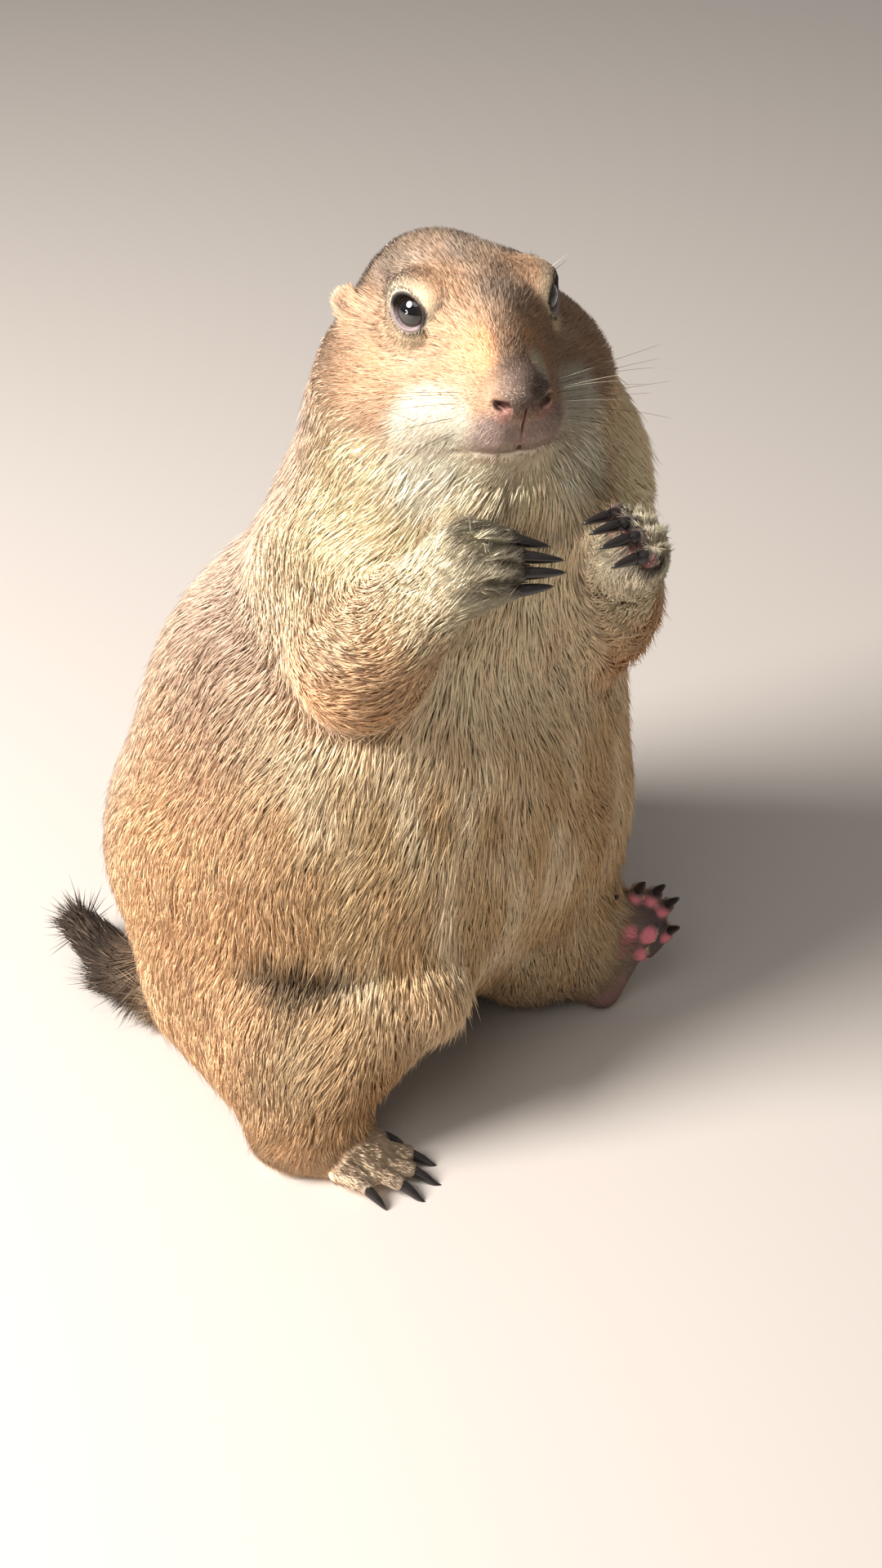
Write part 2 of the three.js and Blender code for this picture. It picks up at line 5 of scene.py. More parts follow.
import bpy
import numpy as np
from mathutils import Matrix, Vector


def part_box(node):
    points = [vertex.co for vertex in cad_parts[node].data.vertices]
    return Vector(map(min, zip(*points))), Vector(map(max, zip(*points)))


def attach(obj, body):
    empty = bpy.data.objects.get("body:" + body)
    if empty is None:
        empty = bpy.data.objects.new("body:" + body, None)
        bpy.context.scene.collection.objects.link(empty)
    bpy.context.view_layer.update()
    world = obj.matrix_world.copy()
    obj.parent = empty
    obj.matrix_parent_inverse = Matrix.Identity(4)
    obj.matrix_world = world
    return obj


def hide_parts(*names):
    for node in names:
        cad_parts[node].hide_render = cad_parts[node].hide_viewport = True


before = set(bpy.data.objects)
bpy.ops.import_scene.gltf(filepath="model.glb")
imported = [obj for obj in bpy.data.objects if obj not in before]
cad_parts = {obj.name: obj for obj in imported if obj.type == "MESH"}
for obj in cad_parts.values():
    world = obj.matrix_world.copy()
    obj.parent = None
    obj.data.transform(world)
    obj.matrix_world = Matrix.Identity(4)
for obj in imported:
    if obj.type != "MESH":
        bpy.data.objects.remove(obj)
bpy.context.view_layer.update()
RNG = np.random.default_rng(11)

# How far the masses reach, how far a vertex may move at once, and the sizes of the coat
MARGIN = 14.0
FINE_MARGIN = 4
FAR = 40
HOLD = 0.75
TUFTS = {"body": 150000, "short": 134000}
COAT_PIECE = 190000
PATCH = 0.003
GUARD_SHARE = 0.07
PALE_TAIL_SHARE = 0.05


# Vectors and frames; a frame is three rows: across, along and out
def unit(v):
    v = np.asarray(v, float)
    return v / np.linalg.norm(v)


def norm(v):
    return np.linalg.norm(v, axis=-1)


def units(v):
    return v / np.maximum(norm(v), 1e-9)[..., None]


def spun(v, axis, degrees):
    axis = unit(axis)
    angle = math.radians(degrees)
    held = axis * (np.asarray(v, float) @ axis)[..., None] * (1 - math.cos(angle))
    return np.asarray(v, float) * math.cos(angle) + np.cross(axis, v) * math.sin(angle) + held


def frame_of(along, out):
    along = unit(along)
    out = unit(np.asarray(out, float) - along * (along @ np.asarray(out, float)))
    return np.array([np.cross(along, out), along, out])


def smooth(low, high, value):
    t = np.clip((value - low) / (high - low), 0, 1)
    return t * t * (3 - 2 * t)


WORLD = np.eye(3)
X, Y, Z = WORLD


# Soft masses: a distance in millimetres, negative inside, with the box that holds it
def ball(centre, radii, axes=WORLD):
    centre, axes = np.array(centre, np.float32), np.array(axes, np.float32)
    radii = np.array(radii, np.float32) * np.ones(3, np.float32)

    def distance(p):
        q = (p - centre) @ axes.T / radii
        near = np.sqrt((q * q).sum(-1))
        steep = np.sqrt(((q / radii) ** 2).sum(-1))
        return near * (near - 1) / np.maximum(steep, 1e-6)

    reach = np.sqrt(((axes * radii[:, None]) ** 2).sum(0))
    return distance, centre - reach, centre + reach


def limb(start, end, start_radius, end_radius):
    start, end = np.array(start, np.float32), np.array(end, np.float32)
    d = end - start
    square = float(d @ d)

    def distance(p):
        q = p - start
        t = np.clip(q @ d / square, 0, 1)
        off = q - t[..., None] * d
        return np.sqrt((off * off).sum(-1)) - start_radius - (end_radius - start_radius) * t

    reach = max(start_radius, end_radius)
    return distance, np.minimum(start, end) - reach, np.maximum(start, end) + reach


def soft_min(a, b, k):
    k = max(k, 1e-3)
    h = np.maximum(k - np.abs(a - b), 0) / k
    return np.minimum(a, b) - h * h * k / 4


def within(p, low, high, margin):
    return ((p > low - margin) & (p < high + margin)).all(-1)


def blend(masses, p):
    """The masses blended in order; each one is read only near its own box."""
    flat = np.asarray(p, np.float32).reshape(-1, 3)
    d = np.full(len(flat), FAR, np.float32)
    for (distance, low, high), k in masses:
        near = within(flat, low, high, MARGIN)
        d[near] = soft_min(d[near], distance(flat[near]), k)
    return d.reshape(np.shape(p)[:-1])


# The head's own frame and the eyes
HEAD_AT = np.array([8, -31, 241.0])
HEAD_AXES = spun(spun(spun(WORLD, X, -5), Y, 2), Z, -13)


def head(x, y, z):
    return HEAD_AT + np.array([x, y, z], float) @ HEAD_AXES


def in_head(p):
    return (p - HEAD_AT) @ HEAD_AXES.T


def on_head(centre, radii, *how, axes=HEAD_AXES):
    """A ball placed in the head's frame, with how it blends or fades."""
    return ball(head(*centre), radii, axes), *how


SIDES = {"right": -1, "left": 1}
EYE_RADIUS = 6.2
EYE = {"right": head(-16, -13.5, 6.2), "left": head(13.8, -14.2, 6.2)}
EYE_LOOKS = {
    "right": unit(np.array([-0.86, -0.5, 0.12]) @ HEAD_AXES),
    "left": unit(np.array([0.78, -0.62, 0.12]) @ HEAD_AXES),
}
EYE_AXES = {
    name: spun(frame_of(EYE_LOOKS[name], HEAD_AXES[2]), EYE_LOOKS[name], side * 22)
    for name, side in SIDES.items()
}
OPENING = np.array([4.8, 4.9, 4.1])
SLIT = {name: EYE[name] + EYE_LOOKS[name] * 7 for name in SIDES}
LID = {name: EYE[name] + EYE_LOOKS[name] * 4 for name in SIDES}
EAR = {"right": (-25, 7.5, -0.5), "left": (22, 17, -11)}
LIP_LEVEL = -24.2


def at_eye(name, p):
    """The points in the frame of the eye's opening, and their ring round it: one on the rim."""
    off = (p - SLIT[name]) @ EYE_AXES[name].T
    return off, np.hypot(off[..., 0] / OPENING[0], off[..., 2] / OPENING[2])


# The masses of the trunk and skull
TRUNK = [
    (ball([0, 14, 58], [80, 70, 60]), 0),
    (ball([-1, -5, 84], [79, 68, 62]), 20),
    (ball([3, -5, 124], [71, 60, 49]), 24),
    (ball([16, -17, 167], [52, 43, 39]), 24),
    (limb([22, -19, 187], head(4, 8, -33), 48.5, 42.5), 22),
    (ball([35, -20, 64], [38, 36, 38]), 14),
]
SKULL = [
    on_head([-2.5, 8, -1], [19, 25, 20.3], 10),
    on_head([-1, -8, 1], [18.5, 20, 16], 10),
    (limb(head(0, -14, -8), head(0, -30, -11), 15.5, 10.5), 10),
    on_head([-16.5, 1, -16], [18, 23, 17], 10),
    on_head([19, 2, -18.5], [22.5, 24, 18], 9),
    *(on_head([x, -31, -18], [8.5, 8.5, 8], 5) for x in (-6, 6)),
    on_head([0, -26, -26.5], [10.5, 9.5, 6.5], 6),
    on_head([0, -36.5, -9], [7.8, 5.6, 6], 4),
    on_head([1, -8, -36], [27, 19, 15], 12),
    *(on_head([x, -21, -19], [9, 9, 9], 9) for x in (-13, 13)),
    *(on_head([x, -10.5, 10.5], [7, 10, 4.5], 8) for x in (-15.5, 13.5)),
]


# Arms, legs and tail
def pair(right, left):
    return {"right": np.array(right, float), "left": np.array(left, float)}


WRIST = pair([-20, -70, 193], [29, -77, 182])
ELBOW = pair([-37, -49, 161], [43, -49, 151])
SHOULDER = pair([-24, -20, 170], [46, -20, 172])
HAND_AXES = {
    "right": frame_of([0.58, -0.79, 0.21], [-0.74, -0.4, 0.53]),
    "left": frame_of([0.11, -0.45, 0.88], [0.99, -0.05, 0.05]),
}
PALM = {name: WRIST[name] + HAND_AXES[name][1] * 5 for name in SIDES}
HEEL = pair([-70, -50, 6.5], [52, -50, 6])
FOOT_AXES = {
    "right": frame_of([0.66, -0.75, -0.04], Z),
    "left": frame_of([0.45, -0.1, 0.88], [0.48, 0.66, -0.3]),
}
SOLE = {name: HEEL[name] + FOOT_AXES[name][1] * 25 for name in SIDES}
UPPER_ARM = {name: [(limb(SHOULDER[name], ELBOW[name], 22, 17), 16)] for name in SIDES}
FOREARM = {name: [(limb(ELBOW[name], WRIST[name], 16, 10), 10)] for name in SIDES}
HAND = {name: [(ball(PALM[name], [9.5, 9.5, 7], HAND_AXES[name]), 4)] for name in SIDES}
THIGH = {
    "right": [
        (limb([-50, -4, 33], [-54, -36, 30], 34, 29), 12),
        (limb([-46, -40, 40], [-27, -62, 51], 26, 15), 12),
    ],
    "left": [(limb([44, 2, 34], [38, -28, 28], 35, 29), 12)],
}
SHIN = {
    "right": [(limb([-42, -52, 41], [-64, -53, 14], 19, 13), 8)],
    "left": [(limb([50, -26, 30], [56, -38, 16], 20, 11), 8)],
}
FOOT = {
    name: [
        (limb(HEEL[name], SOLE[name], radius, 7), 5),
        (ball(SOLE[name], [10.5, 9, 6], FOOT_AXES[name]), 3),
    ]
    for name, radius in (("right", 7.5), ("left", 7))
}
TAIL_PATH = np.array([[-38, 36, 12], [-60, 25, 11], [-71, 40, 12], [-72, 64, 13.0]])
TAIL_RADII = [9, 8, 5.5, 3.4]
TAIL_END = np.array([-70, 96, 13.0])
TAIL = [
    (limb(TAIL_PATH[i], TAIL_PATH[i + 1], TAIL_RADII[i], TAIL_RADII[i + 1]), 3) for i in range(3)
]

# Digits: each has a bent finger or toe and a claw
FINGERS = {
    "right": dict(lengths=[6, 7, 7.5, 6.5], reach=[10.5, 11.5, 11.5, 10.5], drop=[1.5, 0, 0, 1],
                  spread=7.8, fan=-11, bend=[8, 22, 50], thick=2.6, claw=1.75),
    "left": dict(lengths=[7, 8.5, 9, 7.5], reach=[11.5, 12.5, 12.5, 11.5], drop=[1.5, 0, 0, 1],
                 spread=7.5, fan=-6, bend=[20, 80, 104], thick=2.6, claw=1.75),
}
TOES = {
    "right": dict(lengths=[7, 10, 11, 10, 7], reach=[8, 10, 11, 10, 8], drop=[7, 1, 0, 1, 6],
                  spread=8.5, fan=20, bend=[-6, 16, 42], thick=2.7, claw=1.6),
    "left": dict(lengths=[7, 9, 10, 9, 7], reach=[7, 9, 9, 9, 7], drop=[7, 1, 0, 1, 6],
                 spread=8.5, fan=13, bend=[-4, 30, 60], thick=2.7, claw=1.6),
}


def digits(root, axes, look):
    """Each digit as its joints, its direction at the tip, and the path of its claw."""
    across, along, out = axes
    found = []
    for i, length in enumerate(look["lengths"]):
        place = 2 * i / (len(look["lengths"]) - 1) - 1
        way = spun(along, out, -look["fan"] * place)

        def bent(degrees):
            angle = math.radians(degrees)
            return way * math.cos(angle) - out * math.sin(angle)

        at = root + across * look["spread"] * place - along * look["drop"][i]
        joints = [at - bent(look["bend"][0]) * look["thick"]]
        steps = 4
        for s in range(steps + 1):
            joints.append(at)
            turn = look["bend"][0] + (look["bend"][1] - look["bend"][0]) * s / steps
            at = at + bent(turn) * length / steps
        tip = joints[-1]
        claw = [tip - bent(look["bend"][1]) * 2]
        rows = 9
        at = claw[0]
        for s in range(rows):
            turn = look["bend"][1] + (look["bend"][2] - look["bend"][1]) * s / (rows - 1)
            at = at + bent(turn) * (look["reach"][i] + 3) / rows
            claw.append(at)
        found.append(dict(joints=joints, claw=claw, out=out))
    return found


DIGITS = {}
for name in SIDES:
    DIGITS["hand_" + name] = digits(PALM[name] + HAND_AXES[name][1] * 3, HAND_AXES[name], FINGERS[name])
    DIGITS["foot_" + name] = digits(SOLE[name] + FOOT_AXES[name][1] * 3, FOOT_AXES[name], TOES[name])


def digit_masses(found, thick):
    masses = []
    for digit in found:
        joints = digit["joints"]
        for s in range(len(joints) - 1):
            taper = [thick * (1 - 0.16 * t / (len(joints) - 1)) for t in (s, s + 1)]
            masses.append((limb(joints[s], joints[s + 1], *taper), 1.2 if s else 2.5))
        masses.append((ball(joints[-1], thick * 0.95), 1.2))
    return masses


# Everything the skin covers, in the order it is blended
ALL = list(TRUNK + SKULL)
for name in SIDES:
    ALL += UPPER_ARM[name] + FOREARM[name] + HAND[name]
for name in SIDES:
    ALL += THIGH[name] + SHIN[name] + FOOT[name]
ALL += TAIL
for name in SIDES:
    ALL += digit_masses(DIGITS["hand_" + name], FINGERS[name]["thick"] - 0.2)
    ALL += digit_masses(DIGITS["foot_" + name], TOES[name]["thick"] - 0.2)


def settled(field, p, level, rounds=3, most=None):
    """The points moved along the slope of the field until it reads level there."""
    q = np.array(p, np.float32)
    e = 0.15
    for _ in range(rounds):
        value = field(q)
        slope = np.stack([field(q + step * e) - value for step in WORLD.astype(np.float32)], -1) / e
        steep = np.maximum((slope * slope).sum(-1, keepdims=True), 0.05)
        move = slope * ((value - level)[..., None] / steep)
        if most:
            move = move * np.minimum(1, most / np.maximum(norm(move), 1e-6))[..., None]
        q = q - move.astype(np.float32)
    return q


def slope_of(field, p):
    p = np.asarray(p, np.float32)
    steps = WORLD.astype(np.float32) * 0.25
    return units(np.stack([field(p + step) - field(p - step) for step in steps], -1))


EAR_AT, EAR_AXES, EAR_MASS = {}, {}, {}
for name, side in SIDES.items():
    EAR_AT[name] = settled(lambda p: blend(TRUNK + SKULL, p), np.array([head(*EAR[name])]), 0.4)[0]
    EAR_AXES[name] = spun(HEAD_AXES, HEAD_AXES[2], -30 * side)
    EAR_MASS[name] = [(ball(EAR_AT[name], [3, 5.5, 6], EAR_AXES[name]), 1)]
    ALL += EAR_MASS[name]


def from_cup(name, p):
    inside = (p - EAR_AT[name]) @ EAR_AXES[name].T
    return norm(inside - [SIDES[name] * 2.4, -2.2, 0])


# How deep the skin lies under the coat: thin zones, each with its depth and how far it fades
COAT_DEPTH = 3.3
THIN = [
    on_head([0, 3, -6], [27, 30, 24], 2.1, 14),
    (limb(head(0, -14, -6), head(0, -30, -12), 17, 12), 1.0, 12),
    on_head([0, -38, -11], [7.5, 5.5, 5.5], 0.2, 9),
    on_head([0, -31, -20], [10, 9, 7], 0.4, 8),
]
for name in SIDES:
    THIN += [
        (ball(EYE[name], 8), 0.4, 8),
        (ball(EAR_AT[name], 5.5), 0.9, 5),
        (limb(ELBOW[name], WRIST[name], 13, 9), 1.9, 8),
        (limb(PALM[name], PALM[name] + HAND_AXES[name][1] * 12, 12, 10), 0.2, 9),
        (limb(HEEL[name], SOLE[name] + FOOT_AXES[name][1] * 12, 9, 10), 0.25, 8),
    ]
for i in range(3):
    THIN.append((limb(TAIL_PATH[i], TAIL_PATH[i + 1], 10, 8), 0.6, 4))


def floor_fade(z):
    return smooth(-1, 9, z)


def depth_at(p):
    depth = np.full(p.shape[:-1], COAT_DEPTH, np.float32)
    for (distance, low, high), thin, fade in THIN:
        near = within(p, low, high, fade)
        here = thin + (COAT_DEPTH - thin) * smooth(0, fade, distance(p[near]))
        depth[near] = np.minimum(depth[near], here)
    return depth * floor_fade(p[..., 2])


# Cuts and fine forms of the face: lids, sockets, nostrils, lips and ear cups
ADDED, CUTS = [], []
for name, side in SIDES.items():
    nostril = spun(HEAD_AXES, HEAD_AXES[1], -32 * side)
    ADDED.append((ball(EYE[name], 6.95), 3.5))
    CUTS.append((ball(SLIT[name], [*OPENING], EYE_AXES[name]), 0.5))
    CUTS.append(on_head([side * 6.3, -41.2, -11.6], [2.9, 3.4, 1.1], 0.7, axes=nostril))
    cup = EAR_AT[name] + np.array([side * 2.6, -2.2, 0]) @ EAR_AXES[name]
    CUTS.append((ball(cup, [2.4, 2.8, 3.9], EAR_AXES[name]), 0.8))
    ADDED.append(on_head([side * 4.6, -33.5, -21.2], [6.2, 5.6, 2.6], 1.5))
CUTS.append(on_head([0, -31.5, LIP_LEVEL], [12, 10.3, 0.55], 0.7))
CUTS.append(on_head([0, -41.2, -18], [0.35, 2.9, 6.2], 0.6))

# Pads of the left sole and palm: across, along, and radius, from the middle of each
SOLE_PADS = [(2.1, -1.3, 2.9), (-3.9, 0.6, 2.8), (6.6, -4.6, 2.2), (1.6, -8.6, 2.5), (-4.8, -6.6, 2.1)]
PALM_PADS = [(0.4, -1.0, 2.9), (4.6, 3.6, 2.2), (-3.6, 4.2, 2.2), (3.2, -6.2, 2.7)]
PADS = []
for axes, middle, face, places in (
    (FOOT_AXES["left"], SOLE["left"], -5.7, SOLE_PADS), (HAND_AXES["left"], PALM["left"], -6.2, PALM_PADS),
):
    for across, along, radius in places:
        PADS.append((middle + np.array([across, along, face]) @ axes, radius, axes))
for kind, axes in (("foot_left", FOOT_AXES["left"]), ("hand_left", HAND_AXES["left"])):
    for digit in DIGITS[kind]:
        PADS.append((digit["joints"][-2] - axes[2] * 1.3, 2.1, axes))
for at, radius, axes in PADS:
    ADDED.append((ball(at, [radius, radius * 1.1, 1.5], axes), 0.8))

# Grooves between the fingers and between the toes
for kind in DIGITS:
    for one, two in zip(DIGITS[kind], DIGITS[kind][1:]):
        between = (np.array(one["joints"]) + np.array(two["joints"])) / 2
        axes = frame_of(between[4] - between[0], one["out"])
        CUTS.append((ball(between[2] + axes[2] * 3.4, [0.75, 6.5, 3.2], axes), 0.9))
FINE = [(*form, 1) for form in ADDED] + [(*form, -1) for form in CUTS]
FLOOR_GAP = 0.15


def skin_field(p):
    d = blend(ALL, p) + depth_at(p)
    for (distance, low, high), k, sign in FINE:
        near = within(p, low, high, FINE_MARGIN)
        d[near] = sign * soft_min(sign * d[near], distance(p[near]), k)
    return np.maximum(d, FLOOR_GAP - p[..., 2])


# The skin's surface on a grid of rows that is finer at the head, the hands and the feet
def rows_of(low, high, size_at):
    rows = [low]
    while rows[-1] < high:
        rows.append(rows[-1] + size_at(rows[-1]))
    return np.array(rows, np.float32)


def grid_field(rows):
    shape = [len(r) for r in rows]
    d = np.full(shape, FAR, np.float32)
    depth = np.full(shape, COAT_DEPTH, np.float32)

    def block(low, high, margin):
        cut = []
        for r, a, b in zip(rows, low, high):
            first, last = np.searchsorted(r, [a - margin, b + margin])
            cut.append(slice(int(first), int(last) + 1))
        parts = [r[c] for r, c in zip(rows, cut)]
        return tuple(cut), np.stack(np.meshgrid(*parts, indexing="ij"), -1)

    for (distance, low, high), k in ALL:
        cut, p = block(low, high, MARGIN)
        d[cut] = soft_min(d[cut], distance(p), k)
    for (distance, low, high), thin, fade in THIN:
        cut, p = block(low, high, fade + 1)
        near = thin + (COAT_DEPTH - thin) * smooth(0, fade, distance(p))
        depth[cut] = np.minimum(depth[cut], near)
    d += depth * floor_fade(rows[2])
    for (distance, low, high), k, sign in FINE:
        cut, p = block(low, high, FINE_MARGIN)
        d[cut] = sign * soft_min(sign * d[cut], distance(p), k)
    return np.maximum(d, FLOOR_GAP - rows[2])


def surface(rows):
    d = grid_field(rows)
    inside = d < 0
    count = np.zeros([n - 1 for n in d.shape], np.int8)
    for c in range(8):
        cut = tuple(slice(c >> a & 1, n - 1 + (c >> a & 1)) for a, n in enumerate(d.shape))
        count += inside[cut]
    cells = np.argwhere((count > 0) & (count < 8))
    total = np.zeros((len(cells), 3))
    crossed = np.zeros(len(cells))
    for axis in range(3):
        for c in range(8):
            if c >> axis & 1:
                continue
            a = cells + [c & 1, c >> 1 & 1, c >> 2]
            b = a + WORLD[axis].astype(int)
            va, vb = d[tuple(a.T)], d[tuple(b.T)]
            hit = (va < 0) != (vb < 0)
            t = np.where(hit, va / np.where(hit, va - vb, 1), 0)
            pa = np.stack([r[i] for r, i in zip(rows, a.T)], -1)
            pb = np.stack([r[i] for r, i in zip(rows, b.T)], -1)
            total += np.where(hit[:, None], pa + (pb - pa) * t[:, None], 0)
            crossed += hit
    number = np.full(count.shape, -1, np.int64)
    number[tuple(cells.T)] = np.arange(len(cells))
    quads = []
    for axis in range(3):
        u, v = (axis + 1) % 3, (axis + 2) % 3
        at = np.argwhere(np.diff(inside, axis=axis))
        su, sv = WORLD[u].astype(int), WORLD[v].astype(int)
        ring = [number[tuple((at - p * su - q * sv).T)] for p, q in ((0, 0), (1, 0), (1, 1), (0, 1))]
        quad = np.stack(ring, -1)
        flip = ~inside[tuple(at.T)]
        quad[flip] = quad[flip][:, ::-1]
        quads.append(quad)
    quads = np.concatenate(quads)
    points = (total / crossed[:, None]).astype(np.float32)
    across = norm(points[quads[:, 0]] - points[quads[:, 2]])
    other = norm(points[quads[:, 1]] - points[quads[:, 3]])
    short = (across < other)[:, None]
    one = np.where(short, quads[:, [0, 1, 2]], quads[:, [0, 1, 3]])
    two = np.where(short, quads[:, [0, 2, 3]], quads[:, [1, 2, 3]])
    return points, np.concatenate([one, two])


def relaxed(points, faces, share=0.5):
    """Each vertex moved part of the way to the mean of its neighbours."""
    total = np.zeros_like(points)
    count = np.zeros(len(points))
    for a, b in ((0, 1), (1, 2), (2, 0)):
        np.add.at(total, faces[:, a], points[faces[:, b]])
        np.add.at(total, faces[:, b], points[faces[:, a]])
        np.add.at(count, faces[:, a], 1)
        np.add.at(count, faces[:, b], 1)
    mean = total / np.maximum(count, 1)[:, None]
    return points * (1 - share) + mean.astype(np.float32) * share


def refined(points, faces, chosen):
    """Splits every edge whose two ends are chosen, and each face by how many of its edges split."""
    edges = np.sort(faces[:, [[0, 1], [1, 2], [2, 0]]].reshape(-1, 2), axis=1)
    unique, where = np.unique(edges, axis=0, return_inverse=True)
    split = chosen[unique].all(1)
    number = np.full(len(unique), -1, np.int64)
    number[split] = len(points) + np.arange(split.sum())
    points = np.concatenate([points, points[unique[split]].mean(1)])
    middle = number[where.reshape(-1, 3)]
    how = (middle >= 0).sum(1)
    made = [faces[how == 0]]

    def add(*corners):
        made.append(np.stack(corners, 1))

    for turn in range(3):
        order = [turn, (turn + 1) % 3, (turn + 2) % 3]
        one = (how == 1) & (middle[:, turn] >= 0)
        (a, b, c), (ab, _, _) = faces[one][:, order].T, middle[one][:, order].T
        add(a, ab, c)
        add(ab, b, c)
        two = (how == 2) & (middle[:, order[2]] < 0)
        (a, b, c), (ab, bc, _) = faces[two][:, order].T, middle[two][:, order].T
        add(a, ab, c)
        add(ab, bc, c)
        add(ab, b, bc)
    f, m = faces[how == 3], middle[how == 3]
    for turn in range(3):
        add(f[:, turn], m[:, turn], m[:, (turn + 2) % 3])
    made.append(m)
    return points, np.concatenate(made)


def make_skin():
    scale = 1
    rows = [
        rows_of(-88, 88, lambda v: 1.35 * scale),
        rows_of(-94, 94, lambda v: (1.15 if v < -45 else 1.9) * scale),
        rows_of(-3, 264, lambda v: (1.15 if v > 176 or v < 40 else 2.0) * scale),
    ]
    points, faces = surface(rows)
    points = settled(skin_field, points, 0, 2, HOLD)
    points = settled(skin_field, relaxed(points, faces), 0, 2, HOLD)
    for zone in (1, 0.72):
        chosen = norm(points - head(0, -38, -15)) < 12 * zone
        for name in SIDES:
            chosen |= norm(points - LID[name]) < 9.5 * zone
            chosen |= norm(points - EAR_AT[name]) < 8 * (zone == 1)
        points, faces = refined(points, faces, chosen)
        points = settled(skin_field, points, 0, 2, HOLD / 2)
    return points, faces


SKIN, SKIN_FACES = make_skin()
SKIN_OUT = slope_of(skin_field, SKIN)


# Regions of the coat: the masses each covers and the way its hair lies
def toward(v):
    return lambda p: np.broadcast_to(unit(v), p.shape)


def down_trunk(p):
    """Down the body, and outwards over the shoulders below the throat."""
    way = np.broadcast_to(np.array([0, 0.12, -1.0]), p.shape).copy()
    aside = np.clip((p[..., 0] - 14) / 26, -1, 1)
    way[..., 0] = aside * (0.25 + 0.75 * smooth(140, 188, p[..., 2]))
    return units(way)


def along_tail(p):
    back = smooth(24, 42, p[..., 1])[..., None]
    return unit(TAIL_PATH[1] - TAIL_PATH[0]) * (1 - back) + unit(TAIL_END - TAIL_PATH[2]) * back


def over_head(p):
    """Away from the nose, over the crown and the cheeks, and round the eyes."""
    way = units(p - head(0, -44, -9))
    h = in_head(p)
    down = smooth(-14, -30, h[..., 2])[..., None] * smooth(-34, -16, h[..., 1])[..., None]
    way = way - HEAD_AXES[2] * 0.7 * down
    for name in SIDES:
        off = p - (EYE[name] + EYE_LOOKS[name] * 3)
        far = norm(off)[..., None]
        way = way + off / far * 1.7 * smooth(12.5, 6, far)
    return way


REGIONS = [
    ("trunk", TRUNK, down_trunk),
    ("head", SKULL, over_head),
]
for name in SIDES:
    REGIONS += [
        ("ear_" + name, EAR_MASS[name], toward(HEAD_AXES[1] * 0.5 + HEAD_AXES[2])),
        ("upper_arm_" + name, UPPER_ARM[name], toward(ELBOW[name] - SHOULDER[name])),
        ("forearm_" + name, FOREARM[name], toward(WRIST[name] - ELBOW[name])),
        ("hand_" + name, HAND[name] + digit_masses(DIGITS["hand_" + name], 2.4), toward(HAND_AXES[name][1])),
        ("thigh_" + name, THIGH[name], toward([-0.25 if name == "right" else 0.1, -0.2, -1])),
        ("shin_" + name, SHIN[name], toward(HEEL[name] - THIGH[name][-1][0][1] - [0, 0, 25])),
        ("foot_" + name, FOOT[name] + digit_masses(DIGITS["foot_" + name], 2.5), toward(FOOT_AXES[name][1])),
    ]
REGIONS.append(("tail", TAIL, along_tail))
REGION_NAMES = [r[0] for r in REGIONS]
REGION_BLUR = 3.0


def shares_at(p):
    """How much each region owns each point, adding up to one."""
    near = np.stack([blend(masses, p) for _, masses, _ in REGIONS], -1)
    low = near.min(-1, keepdims=True)
    share = np.exp(-(near - low) / REGION_BLUR)
    share = share / share.sum(-1, keepdims=True)
    trunk, skull = REGION_NAMES.index("trunk"), REGION_NAMES.index("head")
    from_middle = norm((in_head(p) - [0.5, -6, -7]) / [37, 38, 27])
    moved = share[..., trunk] * smooth(1.12, 0.9, from_middle)
    share[..., trunk] -= moved
    share[..., skull] += moved
    return share


def share_of(shares, *starts):
    chosen = [i for i, n in enumerate(REGION_NAMES) if n.startswith(starts)]
    return shares[..., chosen].sum(-1)


# Noise that is the same everywhere it is read: values on a lattice, blended between
def noise(p, size, seed=0):
    q = np.asarray(p, float) / size + 1000 + seed * 7.31
    cell = np.floor(q).astype(np.int64)
    t = q - cell
    t = t * t * (3 - 2 * t)
    total = np.zeros(q.shape[:-1])
    for c in range(8):
        step = np.array([c & 1, c >> 1 & 1, c >> 2])
        at = cell + step
        mixed = at[..., 0] * 73856093 ^ at[..., 1] * 19349663 ^ at[..., 2] * 83492791 ^ seed * 2654435761
        mixed = (mixed ^ mixed >> 13) * 1274126177 & 0x7FFFFFFF
        value = (mixed ^ mixed >> 16 & 0xFFFF) % 65536 / 65535.0
        weight = np.where(step, t, 1 - t).prod(-1)
        total += value * weight
    return total


# Colours of the coat, from red, green and blue as seen on a screen
def paint(red, green, blue):
    c = np.array([red, green, blue]) / 255
    return np.where(c <= 0.04045, c / 12.92, ((c + 0.055) / 1.055) ** 2.4)


TAN = paint(206, 167, 136)
CROWN = paint(198, 172, 152)
RUST = paint(244, 178, 122)
BROW = paint(214, 164, 122)
CREAM = paint(249, 232, 200)
WHITE = paint(252, 242, 222)
BACK = paint(214, 186, 164)
FLANK = paint(250, 203, 156)
BELLY = paint(212, 182, 138)
RUFF = paint(252, 228, 190)
THIGH_CREAM = paint(214, 184, 146)
SHIN_BROWN = paint(194, 146, 100)
TOE_TAN = paint(252, 222, 190)
HAND_CREAM = paint(250, 232, 202)
NOSE_GREY = paint(104, 88, 82)
LIP_PINK = paint(188, 166, 164)
PINK = paint(186, 122, 116)
PAD_PINK = paint(216, 122, 134)
DARK = paint(58, 44, 36)
SOLE_GREY = paint(74, 58, 58)
HEEL_PINK = paint(150, 108, 104)
BLACK = paint(34, 29, 28)
RIM = paint(44, 34, 31)
DEEP_PINK = paint(122, 66, 66)
NOSTRIL_SHADE = paint(62, 24, 26)
TICK = paint(92, 68, 52)


